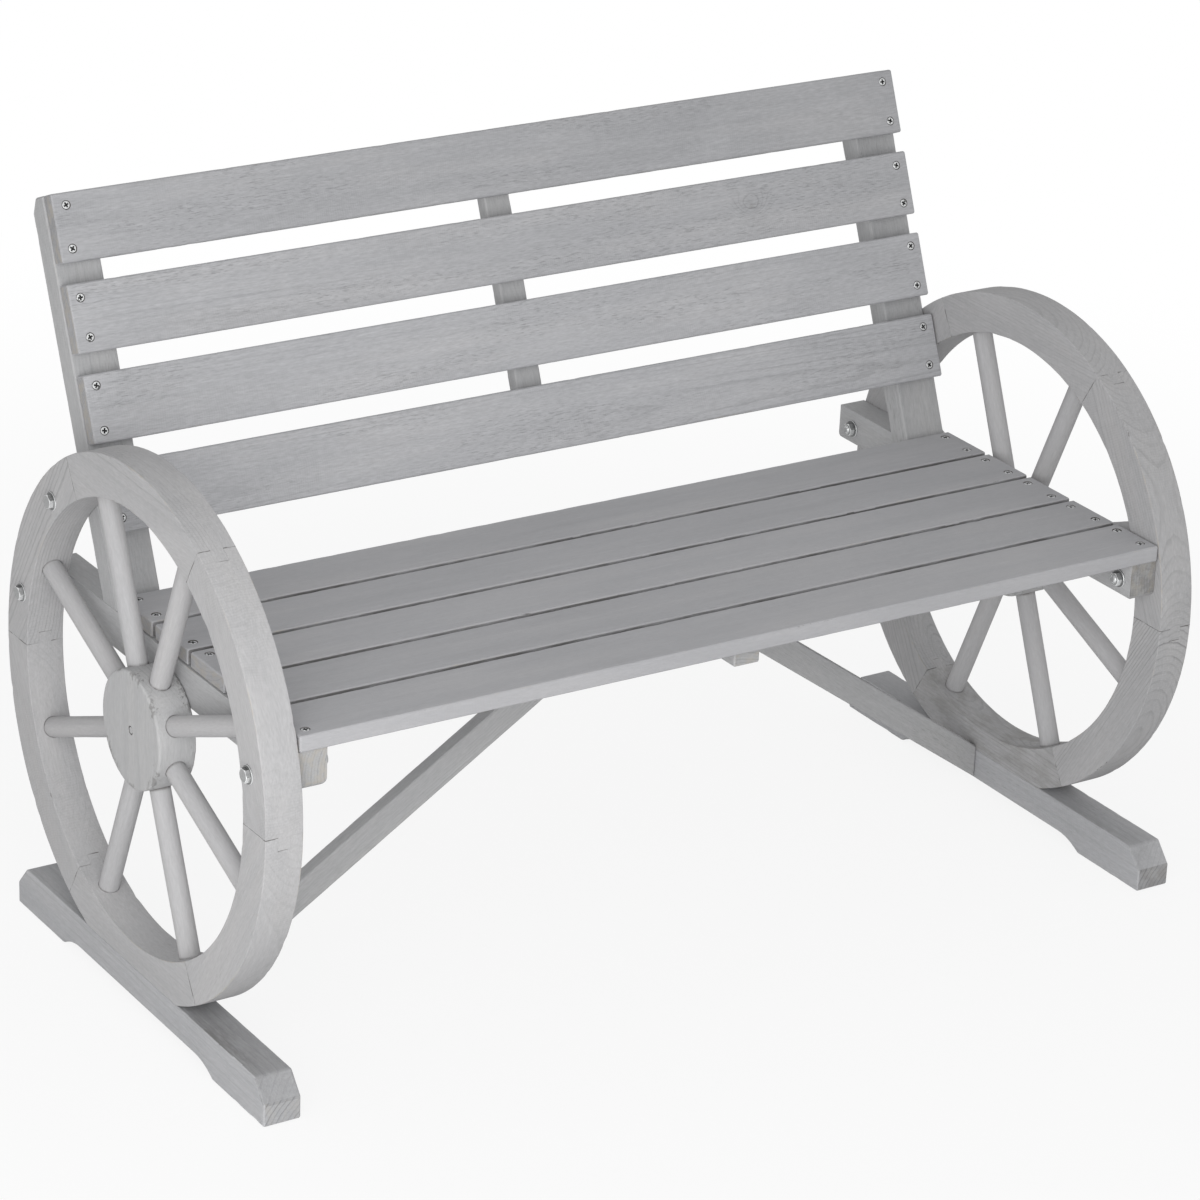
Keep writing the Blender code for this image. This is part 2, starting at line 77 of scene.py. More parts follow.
# Sizes of the wheels, read from the model where its boxes show them
FIT = 0.0003
HUB_LOW, HUB_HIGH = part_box("hub_left")
HUB_RADIUS = (HUB_HIGH.y - HUB_LOW.y) / 2
WHEEL_WIDTH = HUB_HIGH.x - HUB_LOW.x
WHEEL_RADIUS = (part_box("felloe_left_1")[1].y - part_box("felloe_left_4")[0].y) / 2
SPOKE_RADIUS = (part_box("spoke_left_1")[1].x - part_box("spoke_left_1")[0].x) / 2
SKID_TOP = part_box("skid_left")[1].z
RIM_DEPTH = 0.044
RIM_INNER = WHEEL_RADIUS - RIM_DEPTH
RIM_MIDDLE = WHEEL_RADIUS - RIM_DEPTH / 2
FELLOE_COUNT = 6
FELLOE_SPAN = FULL_TURN / FELLOE_COUNT
FELLOE_STEPS = 44
FINGER_ANGLE = 0.0125 / RIM_MIDDLE
FINGER_HALF_WIDTH = WHEEL_WIDTH / 6
JOINT_GAP = 0.00006
JOINT_REACH = 0.012
SPOKE_COUNT = 8
SPOKE_START = HUB_RADIUS - 0.020
SPOKE_END = RIM_INNER + 0.014
SPOKE_SIDES = 40
HUB_SIDES = 120
HUB_HOLE_RADIUS = 0.0045
HUB_HOLE_DEPTH = 0.004

# Sizes of the hardware
BOLT_RADIUS = 0.004
HEX_ACROSS = 0.013
HEAD_HEIGHT = 0.0045
NUT_HEIGHT = 0.0058
WASHER_RADIUS = 0.0095
WASHER_THICKNESS = 0.0014
WASHER_BORE = BOLT_RADIUS + 0.0004
THREAD_PITCH = 0.00125
THREAD_DEPTH = 0.0006
HEX_SIDES = 72
BOLT_NAMES = ("front", "rear", "post")

# First seed of each kind of piece, and how far the right wheel's seeds are from the left wheel's
SEEDS = {"seat_slats": 11, "back_slats": 21, "posts": 31, "rails": 33, "braces": 35, "back_stile": 41,
         "seat_bearer": 42, "skid_left": 51, "skid_right": 52, "felloes": 61, "spokes": 81, "hubs": 101,
         "bolts": 111, "nuts": 115}
WHEEL_SEEDS = 10


def colour_setting(name, description, default):
    return bpy.props.FloatVectorProperty(
        name=name, description=description, default=default, subtype="COLOR", size=3, min=0, max=1)


def length_setting(name, description, default, least=0.0):
    return bpy.props.FloatProperty(
        name=name, description=description, default=default, min=least, subtype="DISTANCE", unit="LENGTH")


def angle_setting(name, description, degrees):
    return bpy.props.FloatProperty(
        name=name, description=description, default=math.radians(degrees), subtype="ANGLE", unit="ROTATION")


class BenchWash(bpy.types.PropertyGroup):
    """Colours and grain of the washed wood."""

    back_slats: colour_setting("Back slats", "Wash on the back slats", (0.446, 0.449, 0.465))
    seat_slats: colour_setting("Seat slats", "Wash on the seat slats", (0.441, 0.442, 0.457))
    frame_boards: colour_setting("Frame", "Wash on posts, rails, battens and braces", (0.456, 0.458, 0.464))
    skids: colour_setting("Skids", "Wash on the skids", (0.430, 0.433, 0.446))
    rims: colour_setting("Rims", "Wash on the felloes of the wheels", (0.469, 0.467, 0.474))
    spokes: colour_setting("Spokes", "Wash on the spokes", (0.481, 0.478, 0.485))
    hubs: colour_setting("Hubs", "Wash on the hubs", (0.470, 0.471, 0.476))
    bare_wood: colour_setting("Bare wood", "Wood that shows where the wash has worn off", (0.450, 0.418, 0.368))
    # Torn wood's colour also draws the painted shade in holes and gaps.
    torn_wood: colour_setting("Torn wood", "Dark fibres in torn edges and joints", (0.085, 0.078, 0.070))
    knot_wood: colour_setting("Knots", "Knots under the wash", (0.270, 0.262, 0.250))
    relief: length_setting("Relief", "Depth of the raised grain", 0.0007)


class BenchEdges(bpy.types.PropertyGroup):
    """Shape of the boards' arrises."""

    round_over: length_setting("Round over", "Width of the small round beside each chamfer", 0.00045)
    wear: length_setting("Wear", "Depth of the uneven wear along an arris", 0.00035)
    chips: length_setting("Chips", "Depth of the deepest chips in an arris", 0.0011)
    slice_length: length_setting("Slice length", "Distance between the sections of a board", 0.009, 0.002)
    joint_groove: length_setting("Joint groove", "Eased edge at the joints of the felloes", 0.00012)


class BenchHardware(bpy.types.PropertyGroup):
    """Zinc-plated screws and bolts."""

    zinc: colour_setting("Zinc", "Colour of the zinc plating", (0.868, 0.880, 0.882))
    screw_diameter: length_setting("Screw head", "Diameter of a screw's head", 0.0078, 0.004)
    screw_inset: length_setting("Screw inset", "Distance of the screws from a slat's end", 0.0135, 0.008)
    screw_edge: length_setting("Screw edge", "Distance of the first screw from a slat's long edge", 0.013, 0.008)
    screw_pair: length_setting("Screw pair", "Distance between the two screws of a pair", 0.0418, 0.02)
    screw_stray: length_setting("Screw stray", "How far a screw strays from its place", 0.0015)


class BenchStage(bpy.types.PropertyGroup):
    """Floor, light and camera."""

    floor: colour_setting("Floor", "Colour of the floor", (0.80, 0.80, 0.80))
    sky: bpy.props.FloatProperty(
        name="Sky", description="Strength of the even light from all round", default=0.59, min=0)
    key_power: bpy.props.FloatProperty(
        name="Key light", description="Power of the broad light in front on the left", default=38.0, min=0,
        subtype="POWER", unit="POWER")
    lens: bpy.props.FloatProperty(
        name="Lens", description="Focal length of the camera", default=135.93, min=1, subtype="DISTANCE_CAMERA",
        unit="CAMERA")
    camera_place: bpy.props.FloatVectorProperty(
        name="Camera place", description="Where the camera stands", default=(-2.3205, -3.5290, 2.1332), size=3,
        subtype="XYZ", unit="LENGTH")
    camera_turn: angle_setting("Camera turn", "Angle of the camera round the bench", -33.2578)
    camera_height: angle_setting("Camera height", "Angle of the camera above the floor", 23.1838)
    camera_roll: angle_setting("Camera roll", "Roll of the camera about its line of sight", 2.4484)


class Sketch:
    """Short calls that place and join the nodes of one shader tree."""

    def __init__(self, tree):
        self.tree = tree

    def put(self, value, socket):
        if isinstance(value, bpy.types.NodeSocket):
            self.tree.links.new(value, socket)
        elif value is not None:
            socket.default_value = value

    def node(self, kind, *ordered, settings=(), **labelled):
        """Outputs of a new node, its inputs filled in order or by label, where _ stands for a blank."""
        item = self.tree.nodes.new("ShaderNode" + kind)
        for key, value in dict(settings).items():
            setattr(item, key, value)
        for value, socket in zip(ordered, item.inputs):
            self.put(value, socket)
        for label, value in labelled.items():
            self.put(value, item.inputs[label.replace("_", " ")])
        return item.outputs

    def math(self, operation, *values):
        return self.node("Math", *values, settings={"operation": operation})[0]

    def times(self, value, *factors):
        for factor in factors:
            value = self.math("MULTIPLY", value, factor)
        return value

    def scaled(self, value, factor, base):
        """The value times the factor, plus the base."""
        return self.math("MULTIPLY_ADD", value, factor, base)

    def around(self, value, amount):
        """1 plus amount times the value's distance from one half."""
        return self.scaled(self.math("SUBTRACT", value, 0.5), amount, 1.0)

    def less(self, value, amount=1.0):
        """1 less amount times the value."""
        return self.math("SUBTRACT", 1.0, self.times(value, amount))

    def blend(self, first, second, share):
        """Both values in one, the second by its share."""
        return self.scaled(second, share, self.times(first, 1 - share))

    def vector(self, operation, first, second=None):
        settings = {"operation": operation}
        if operation == "SCALE":
            return self.node("VectorMath", first, settings=settings, Scale=second)["Vector"]
        return self.node("VectorMath", first, second, settings=settings)["Value" if operation == "LENGTH" else "Vector"]

    def parts(self, vector):
        return self.node("SeparateXYZ", vector)

    def step(self, value, low, high):
        """0 up to low, 1 from high, smooth between."""
        settings = {"interpolation_type": "SMOOTHSTEP"}
        return self.node("MapRange", settings=settings, Value=value, From_Min=low, From_Max=high)["Result"]

    def noise(self, vector, along, across, detail=2.0, roughness=0.5, depth=None, output="Fac"):
        """Noise with about so many waves in a metre along and across the grain, and in depth where that differs."""
        place = self.vector("MULTIPLY", vector, (along, across, across if depth is None else depth))
        settings = {"noise_dimensions": "3D"}
        return self.node("TexNoise", settings=settings, Vector=place, Scale=1.0, Detail=detail,
                         Roughness=roughness)[output]

    def sway(self, vector, along, across, amount):
        """A shift by noise to any side, within half the amount."""
        colour = self.noise(vector, along, across, output="Color")
        return self.vector("SCALE", self.vector("SUBTRACT", colour, (0.5, 0.5, 0.5)), amount)

    def mix(self, share, under, over):
        item = self.tree.nodes.new("ShaderNodeMix")
        item.data_type = "RGBA"
        for value, index in ((share, 0), (under, 6), (over, 7)):
            self.put(value, item.inputs[index])
        return item.outputs[2]

    def attribute(self, name, output="Vector"):
        return self.node("Attribute", settings={"attribute_name": name, "attribute_type": "GEOMETRY"})[output]

    def effect(self, group, **values):
        return self.node("Group", settings={"node_tree": group}, **values)


def shared_effect(*results, **inputs):
    """Turns a drawing into a maker of its node group, drawn on first use. An input without a default is a vector."""
    def wrap(draw):
        def group():
            name = draw.__name__
            if name in bpy.data.node_groups:
                return bpy.data.node_groups[name]
            tree = bpy.data.node_groups.new(name, "ShaderNodeTree")
            for label, default in inputs.items():
                kind = "NodeSocketVector" if default is None else "NodeSocketFloat"
                socket = tree.interface.new_socket(label, in_out="INPUT", socket_type=kind)
                if default is not None:
                    socket.default_value = default
            for label in results:
                tree.interface.new_socket(label, in_out="OUTPUT", socket_type="NodeSocketFloat")
            source = tree.nodes.new("NodeGroupInput").outputs
            target = tree.nodes.new("NodeGroupOutput").inputs
            drawn = draw(Sketch(tree), *[source[label] for label in inputs])
            for label, value in zip(results, drawn):
                tree.links.new(value, target[label])
            return tree

        return group

    return wrap


@shared_effect("Late", "Knot", "Pull", Grain=None, Knot=None, Spacing=0.004, Sway=0.01)
def growth_rings(sketch, grain, knot, spacing, sway):
    """Yearly rings round the pith, swaying along the grain and bending round knots."""
    fine_sway, knot_sway, knot_radius, knot_lift = 0.0016, 2.6, 0.022, 0.021
    core_start, core_end = 0.0015, 0.0045
    slow = sketch.sway(grain, 2.4, 9.0, sway)
    fine = sketch.sway(grain, 26.0, 120.0, fine_sway)
    moved = sketch.vector("ADD", sketch.vector("ADD", grain, slow), fine)
    radius = sketch.vector("LENGTH", sketch.vector("MULTIPLY", moved, (0.0, 1.0, 1.0)))
    away = sketch.vector("ADD", sketch.vector("SUBTRACT", grain, knot), sketch.vector("SCALE", fine, knot_sway))
    far = sketch.vector("LENGTH", sketch.vector("MULTIPLY", away, (1.0, 1.5, 0.0)))
    strength = sketch.parts(knot)[2]
    share = sketch.math("DIVIDE", far, knot_radius)
    swell = sketch.times(sketch.math("EXPONENT", sketch.times(share, share, -1.0)), strength)
    count = sketch.math("DIVIDE", sketch.scaled(swell, knot_lift, radius), spacing)
    within = sketch.math("FRACT", count)
    late = sketch.times(sketch.step(within, 0.58, 0.93), sketch.less(sketch.step(within, 0.94, 1.0)))
    year = sketch.node("TexWhiteNoise", settings={"noise_dimensions": "1D"}, W=sketch.math("FLOOR", count))["Value"]
    late = sketch.times(late, sketch.scaled(year, 0.65, 0.35))
    core = sketch.less(sketch.step(far, core_start, core_end))
    return late, sketch.times(core, strength), swell


@shared_effect("Fibre", "Pores", "Pale", "Cloud", Grain=None, Cover=0.5)
def wood_fibres(sketch, grain, cover):
    """Fine fibres, short dark pores that gather in bands, pale streaks and slow clouds of the wash."""
    fine = sketch.noise(grain, 120.0, 700.0, roughness=0.6)
    broad = sketch.noise(grain, 12.0, 300.0, detail=3.0, roughness=0.6)
    dash = sketch.step(sketch.noise(grain, 100.0, 900.0, roughness=0.6), 0.53, 0.70)
    band = sketch.noise(grain, 3.4, 26.0, roughness=0.55)
    edge = sketch.scaled(cover, -0.34, 0.66)
    band = sketch.scaled(sketch.step(band, edge, sketch.math("ADD", edge, 0.18)), 0.85, 0.15)
    pale = sketch.step(sketch.noise(grain, 19.0, 210.0), 0.58, 0.76)
    cloud = sketch.noise(grain, 5.0, 16.0, detail=4.0, roughness=0.58)
    streaks = sketch.noise(grain, 2.6, 52.0, detail=3.0, roughness=0.55)
    return sketch.blend(fine, broad, 0.3), sketch.times(dash, band), pale, sketch.blend(cloud, streaks, 0.45)


@shared_effect("Marks", Grain=None, Pitch=0.003)
def saw_marks(sketch, grain, pitch):
    """Cross-wise ripples that the saw leaves, in patches."""
    sway = sketch.times(sketch.noise(grain, 9.0, 30.0), 0.012)
    wave = sketch.math("DIVIDE", sketch.math("ADD", sketch.parts(grain)[0], sway), pitch)
    wave = sketch.math("SINE", sketch.times(wave, FULL_TURN))
    rough = sketch.noise(grain, 420.0, 40.0, roughness=0.6)
    patch = sketch.step(sketch.noise(grain, 7.0, 22.0), 0.42, 0.62)
    return [sketch.times(sketch.scaled(wave, 0.35, 0.5), rough, patch)]


@shared_effect("Bare", "Torn", Place=None, Half=None, Grain=None, Reach=0.003, Bareness=0.5, Tearing=0.5)
def worn_edges(sketch, place, half, grain, reach, bareness, tearing):
    """Bare wood and torn dark chips along a board's arrises, from its place in the board and the board's half size."""
    a, b, c = sketch.parts(sketch.vector("SUBTRACT", half, sketch.vector("ABSOLUTE", place)))
    least, most = sketch.math("MINIMUM", a, b), sketch.math("MAXIMUM", a, b)
    gap = sketch.math("MAXIMUM", least, sketch.math("MINIMUM", most, c))
    share = sketch.math("DIVIDE", gap, reach)

    def ragged(crumbs, swing, low, high, amount, where, fade):
        """A band along the arrises with a crumbling border, shown only where the slower noise is high enough."""
        border = sketch.scaled(sketch.math("SUBTRACT", crumbs, 0.5), swing, share)
        start = sketch.scaled(amount, -0.5, 0.80)
        shown = sketch.step(where, start, sketch.math("ADD", start, fade))
        return sketch.times(sketch.less(sketch.step(border, low, high)), shown)

    bare = ragged(crumbs=sketch.noise(grain, 90.0, 230.0, detail=3.0, roughness=0.6), swing=2.4, low=0.15, high=0.75,
                  amount=bareness, where=sketch.noise(grain, 11.0, 14.0), fade=0.12)
    torn = ragged(crumbs=sketch.noise(grain, 150.0, 320.0, roughness=0.6), swing=3.2, low=0.0, high=0.45,
                  amount=tearing, where=sketch.noise(grain, 6.0, 31.0, detail=4.0, roughness=0.65), fade=0.08)
    return bare, torn


@shared_effect("Mottle", "Scratch", "Gloss", Place=None)
def plating(sketch, place):
    """Mottling and fine scratches of zinc plating."""
    mottle = sketch.noise(place, 420.0, 420.0, detail=3.0, roughness=0.6)
    scratch = sketch.step(sketch.noise(place, 300.0, 2600.0, roughness=0.6), 0.55, 0.75)
    gloss = sketch.scaled(mottle, 0.22, 0.20)
    return mottle, scratch, sketch.scaled(scratch, 0.12, gloss)


# How strongly each finish shows its rings, pores, clouds, saw marks and wear
Look = namedtuple(
    "Look", "spacing sway rings cover pores cloud fibre saw pitch reach bareness tearing end pale torn end_bare",
    defaults=(0.05, 0.60, 0.0))
LOOKS = {
    "back_slats": Look(spacing=0.0036, sway=0.010, rings=0.10, cover=0.66, pores=0.25, cloud=0.36, fibre=0.62,
                       saw=0.10, pitch=0.0026, reach=0.0016, bareness=0.40, tearing=0.16, end=0.16, end_bare=0.70),
    "seat_slats": Look(spacing=0.0042, sway=0.014, rings=0.03, cover=0.12, pores=0.08, cloud=0.36, fibre=0.26,
                       saw=0.04, pitch=0.0030, reach=0.0016, bareness=0.50, tearing=0.40, torn=0.72, end=0.16,
                       end_bare=0.60),
    "frame": Look(spacing=0.0034, sway=0.010, rings=0.12, cover=0.35, pores=0.20, cloud=0.28, fibre=0.52, saw=0.08,
                  pitch=0.0030, reach=0.0018, bareness=0.34, tearing=0.14, end=0.24, end_bare=0.60),
    "skid": Look(spacing=0.0052, sway=0.012, rings=0.10, cover=0.35, pores=0.20, pale=0.08, cloud=0.32, fibre=0.52,
                 saw=0.08, pitch=0.0034, reach=0.0022, bareness=0.44, tearing=0.36, end=0.34, end_bare=0.20),
    "rim": Look(spacing=0.0036, sway=0.006, rings=0.15, cover=0.30, pores=0.14, pale=0.06, cloud=0.27, fibre=0.50,
                saw=0.14, pitch=0.0026, reach=0.0018, bareness=0.56, tearing=0.46, end=0.10),
    "spoke": Look(spacing=0.0050, sway=0.006, rings=0.05, cover=0.16, pores=0.12, cloud=0.24, fibre=0.36, saw=0.02,
                  pitch=0.0030, reach=0.0010, bareness=0.20, tearing=0.20, end=0.15),
    "hub": Look(spacing=0.0040, sway=0.009, rings=0.08, cover=0.25, pores=0.14, pale=0.06, cloud=0.34, fibre=0.46,
                saw=0.08, pitch=0.0026, reach=0.0120, bareness=0.30, tearing=0.62, torn=0.46, end=0.15),
}

# Shades and covers that all washed wood has in common
END_SHADE = 0.10
KNOT_SHADE = 0.075
KNOT_RINGS = 0.20
KNOT_COVER = 0.30
BARE_COVER = 0.60
CRACK_COVER = 0.72
WARM_TINT = (1.006, 1.0, 0.992)
ZINC_METAL = 0.45


def new_material(name):
    """A material without nodes, and a sketch of its tree."""
    material = bpy.data.materials.new(name)
    material.use_nodes = True
    material.node_tree.nodes.clear()
    return material, Sketch(material.node_tree)


def finish_surface(sketch, colour, roughness, height, strength, distance, **values):
    """The bump, shader and output that wood and zinc end in."""
    bump = sketch.node("Bump", Strength=strength, Distance=distance, Height=height)["Normal"]
    shader = sketch.node("BsdfPrincipled", Base_Color=colour, Roughness=roughness, Normal=bump, **values)[0]
    sketch.node("OutputMaterial", Surface=shader)


def washed_wood(slot, wash):
    """Grey wash over softwood, with the strengths that the slot's look gives."""
    name = slot + "_wash"
    if name in bpy.data.materials:
        return bpy.data.materials[name]
    look = LOOKS[slot]
    colours = bpy.context.scene.bench_wash
    material, sketch = new_material(name)
    grain, knot, place, half = [sketch.attribute(label) for label in ("grain", "knot", "place", "half")]
    end, seam, tone, figure, stain = [
        sketch.attribute(label, "Fac") for label in ("end", "seam", "tone", "figure", "stain")]
    rings = sketch.effect(growth_rings(), Grain=grain, Knot=knot, Spacing=look.spacing, Sway=look.sway)
    fibres = sketch.effect(wood_fibres(), Grain=grain, Cover=look.cover)
    marks = sketch.effect(saw_marks(), Grain=grain, Pitch=look.pitch)["Marks"]
    edges = sketch.effect(worn_edges(), Place=place, Half=half, Grain=grain, Reach=look.reach,
                          Bareness=look.bareness, Tearing=look.tearing)

    shown = sketch.times(sketch.step(sketch.noise(grain, 1.6, 18.0), 0.36, 0.64), figure)
    ring_share = sketch.scaled(end, look.end, sketch.times(shown, look.rings))
    ring_share = sketch.scaled(sketch.math("MAXIMUM", rings["Pull"], 0.0), KNOT_RINGS, ring_share)
    gain = sketch.times(
        sketch.less(rings["Late"], ring_share), sketch.less(fibres["Pores"], look.pores),
        sketch.around(fibres["Fibre"], look.fibre), sketch.around(fibres["Cloud"], look.cloud),
        sketch.less(marks, look.saw), sketch.scaled(fibres["Pale"], look.pale, 1.0),
        sketch.less(end, END_SHADE), sketch.less(rings["Pull"], KNOT_SHADE), tone)
    colour = sketch.vector("SCALE", tuple(wash), gain)
    warm = sketch.vector("MULTIPLY", colour, WARM_TINT)
    colour = sketch.mix(sketch.step(fibres["Cloud"], 0.42, 0.66), colour, warm)

    blotch_mask = sketch.step(sketch.noise(grain, 26.0, 70.0, detail=5.0, roughness=0.72), 0.40, 0.64)
    layers = [(sketch.times(rings["Knot"], KNOT_COVER), colours.knot_wood),
              (sketch.times(blotch_mask, stain), colours.knot_wood),
              (sketch.times(edges["Bare"], BARE_COVER), colours.bare_wood)]
    if look.end_bare > 0:
        sawn = sketch.step(sketch.noise(grain, 60.0, 90.0, detail=3.0, roughness=0.6, depth=160.0), 0.40, 0.66)
        layers.append((sketch.times(sawn, end, look.end_bare), colours.bare_wood))
    worn = sketch.step(sketch.noise(grain, 16.0, 90.0, detail=4.0, roughness=0.7), 0.36, 0.62)
    # Dark marks, in torn wood's colour, are also painted shade in holes, gaps and the hub's centre hole.
    layers += [(sketch.times(edges["Torn"], look.torn), colours.torn_wood),
               (sketch.times(seam, sketch.scaled(worn, 0.62, 0.34)), colours.torn_wood)]
    if slot == "rim":
        crack = sketch.step(sketch.attribute("joint", "Fac"), 0.940, 0.970)
        broken = sketch.step(sketch.noise(grain, 75.0, 75.0, detail=1.0), 0.42, 0.56)
        layers.append((sketch.times(crack, broken, CRACK_COVER), colours.torn_wood))
    for share, over in layers:
        colour = sketch.mix(share, colour, (*over, 1))

    roughness = sketch.scaled(fibres["Fibre"], 0.20, 0.58)
    roughness = sketch.scaled(fibres["Pores"], 0.12, roughness)
    height = sketch.times(fibres["Fibre"], 0.42)
    for mark, depth in ((fibres["Pores"], -0.40), (rings["Late"], 0.16), (marks, -2.2 * look.saw),
                        (edges["Torn"], -0.80), (edges["Bare"], -0.25)):
        height = sketch.scaled(mark, depth, height)
    finish_surface(sketch, colour, roughness, height, 0.55, colours.relief, Specular_IOR_Level=0.35)
    return material


def zinc_plate(name="bright_zinc", paint_cover=0.0):
    """Zinc plating, with wash left on it over the given share."""
    if name in bpy.data.materials:
        return bpy.data.materials[name]
    scene = bpy.context.scene
    material, sketch = new_material(name)
    place = sketch.attribute("grain")
    zinc = sketch.effect(plating(), Place=place)
    # The pieces' painted shade darkens the zinc in recesses, round the heads and on upper sides.
    gain = sketch.times(sketch.around(zinc["Mottle"], 0.55), sketch.less(zinc["Scratch"], 0.12),
                        sketch.less(sketch.attribute("grime", "Fac")))
    colour = sketch.vector("SCALE", tuple(scene.bench_hardware.zinc), gain)
    roughness, metal = zinc["Gloss"], ZINC_METAL
    if paint_cover > 0:
        patch = sketch.noise(place, 340.0, 340.0, detail=3.0, roughness=0.6)
        patch = sketch.step(patch, 0.70 - 0.45 * paint_cover, 0.80 - 0.45 * paint_cover)
        dull_paint = [0.8 * part for part in scene.bench_wash.seat_slats]
        colour = sketch.mix(patch, colour, (*dull_paint, 1))
        roughness = sketch.scaled(patch, 0.35, roughness)
        metal = sketch.times(sketch.less(patch), ZINC_METAL)
    finish_surface(sketch, colour, roughness, zinc["Mottle"], 0.25, 0.0002, Metallic=metal)
    return material


def read(items, name, width=3, kind=np.float32):
    """The named values of a mesh's points, faces or corners."""
    values = np.empty(len(items) * width, kind)
    items.foreach_get(name, values)
    return values.reshape(-1, width) if width > 1 else values


def points_of(mesh):
    return read(mesh.vertices, "co").astype(float)


def normals_of(mesh):
    return read(mesh.polygons, "normal")


def centres_of(mesh):
    return read(mesh.polygons, "center").astype(float)


def corners_of(mesh):
    """Point and face of each face corner."""
    points = read(mesh.loops, "vertex_index", 1, np.int32)
    return points, np.repeat(np.arange(len(mesh.polygons)), read(mesh.polygons, "loop_total", 1, np.int32))


def stamp(mesh, name, values):
    """Writes one attribute.

    It takes a number or vector for the whole mesh, a vector for each point, or a number for each point, face or
    corner.
    """
    values = np.asarray(values, np.float32)
    count = len(mesh.vertices)
    if values.ndim == 0:
        values = np.full(count, values)
    elif values.shape == (3,):
        values = np.tile(values, (count, 1))
    is_vector = values.ndim == 2
    domains = {count: "POINT", len(mesh.polygons): "FACE", len(mesh.loops): "CORNER"}
    domain = "POINT" if is_vector else domains[len(values)]
    layer = mesh.attributes.new(name, "FLOAT_VECTOR" if is_vector else "FLOAT", domain)
    layer.data.foreach_set("vector" if is_vector else "value", values.ravel())


def stamp_wood(mesh, grain, place, half, seed, heart=None, tone=None, figure=None, knot=(0.0, 0.0, 0.0), **values):
    """Writes what the washed wood reads.

    Per point: grain, place in the piece and half size. For the whole piece: its knot, given as place along, place
    across and strength. For the whole piece or in detail: tone, figure, end grain, dark marks that are also painted
    shade in holes and gaps, and dark blotches.
    """
    dice = random.Random(seed)
    if heart is None:
        heart = (dice.uniform(-0.030, 0.030), dice.choice((-1, 1)) * dice.uniform(0.030, 0.075))
    lean = (dice.uniform(-0.008, 0.008), dice.uniform(-0.014, 0.014))
    grain = np.array(grain, float)
    grain[:, 1] += heart[0] + lean[0] * grain[:, 0]
    grain[:, 2] += heart[1] + lean[1] * grain[:, 0]
    shift = dice.uniform(-40.0, 40.0)
    grain[:, 0] += shift
    knot = (knot[0] + shift, knot[1] + heart[0] + lean[0] * knot[0], knot[2])
    tone = dice.uniform(0.97, 1.03) if tone is None else tone
    figure = dice.uniform(0.5, 1.3) if figure is None else figure
    plain = {"end": 0.0, "seam": 0.0, "stain": 0.0}
    given = {"grain": grain, "place": place, "half": half, "knot": knot, "tone": tone, "figure": figure}
    for name, value in {**plain, **given, **values}.items():
        stamp(mesh, name, value)


def axes(along, across):
    """Turn whose columns are a board's length, width and thickness."""
    along = along.normalized()
    depth = along.cross(across).normalized()
    return Matrix((along, depth.cross(along), depth)).transposed()


def middle_of(node):
    low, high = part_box(node)
    return (low + high) / 2


def new_piece(name, solid, place, paint):
    """A mesh object from a bmesh, in its place, with one material."""
    mesh = bpy.data.meshes.new(name)
    solid.normal_update()
    solid.to_mesh(mesh)
    solid.free()
    mesh.materials.append(paint)
    piece = bpy.data.objects.new(name, mesh)
    bpy.context.scene.collection.objects.link(piece)
    piece.matrix_world = place
    return piece


def carve(piece, cutter):
    """Takes a solid, given in the piece's own axes, out of the piece."""
    tool = new_piece("cutter", cutter, piece.matrix_world.copy(), piece.data.materials[0])
    change = piece.modifiers.new("carve", "BOOLEAN")
    change.operation = "DIFFERENCE"
    change.solver = "EXACT"
    change.object = tool
    bpy.context.view_layer.update()
    done = piece.evaluated_get(bpy.context.evaluated_depsgraph_get())
    mesh = bpy.data.meshes.new_from_object(done)
    piece.modifiers.remove(change)
    old, tool_mesh = piece.data, tool.data
    piece.data = mesh
    bpy.data.objects.remove(tool)
    bpy.data.meshes.remove(tool_mesh)
    bpy.data.meshes.remove(old)
    mesh.name = piece.name


def fix_piece(piece, slot, *nodes, crease=38.0):
    """Shades a finished piece and fixes it to the bench in place of its nodes."""
    mesh = piece.data
    mesh.shade_smooth()
    mesh.set_sharp_from_angle(angle=math.radians(crease))
    even = piece.modifiers.new("even_shading", "WEIGHTED_NORMAL")
    even.keep_sharp = True
    mesh.transform(piece.matrix_world)
    piece.matrix_world = Matrix.Identity(4)
    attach(piece, BODY)
    if nodes:
        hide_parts(*nodes)


def face_outward(solid):
    bmesh.ops.recalc_face_normals(solid, faces=solid.faces)
    return solid


def loft_into(solid, rings, tube=False):
    """Adds a solid through rings of points. A tube also joins its last ring to its first."""
    rows = [[solid.verts.new(point) for point in ring] for ring in rings]
    pairs = list(zip(rows, rows[1:]))
    if tube:
        pairs.append((rows[-1], rows[0]))
    for low, high in pairs:
        for i in range(len(low)):
            j = (i + 1) % len(low)
            solid.faces.new((low[i], low[j], high[j], high[i]))
    if not tube:
        solid.faces.new(list(reversed(rows[0])))
        solid.faces.new(rows[-1])


def loft(rings):
    solid = bmesh.new()
    loft_into(solid, rings)
    return face_outward(solid)


def ring(x, radius, sides):
    """Points round the X axis. The radius is a number or a function of the angle."""
    points = []
    for i in range(sides):
        angle = FULL_TURN * i / sides
        reach = radius(angle) if callable(radius) else radius
        points.append(Vector((x, reach * math.cos(angle), reach * math.sin(angle))))
    return points


def rod_into(solid, start, end, radius, sides=32):
    """Adds a round bar between two points."""
    way = (end - start).normalized()
    turn = RIGHT.rotation_difference(way).to_matrix().to_4x4()
    length = (end - start).length
    loft_into(solid, [[start + turn @ point for point in ring(x, radius, sides)] for x in (0.0, length)])


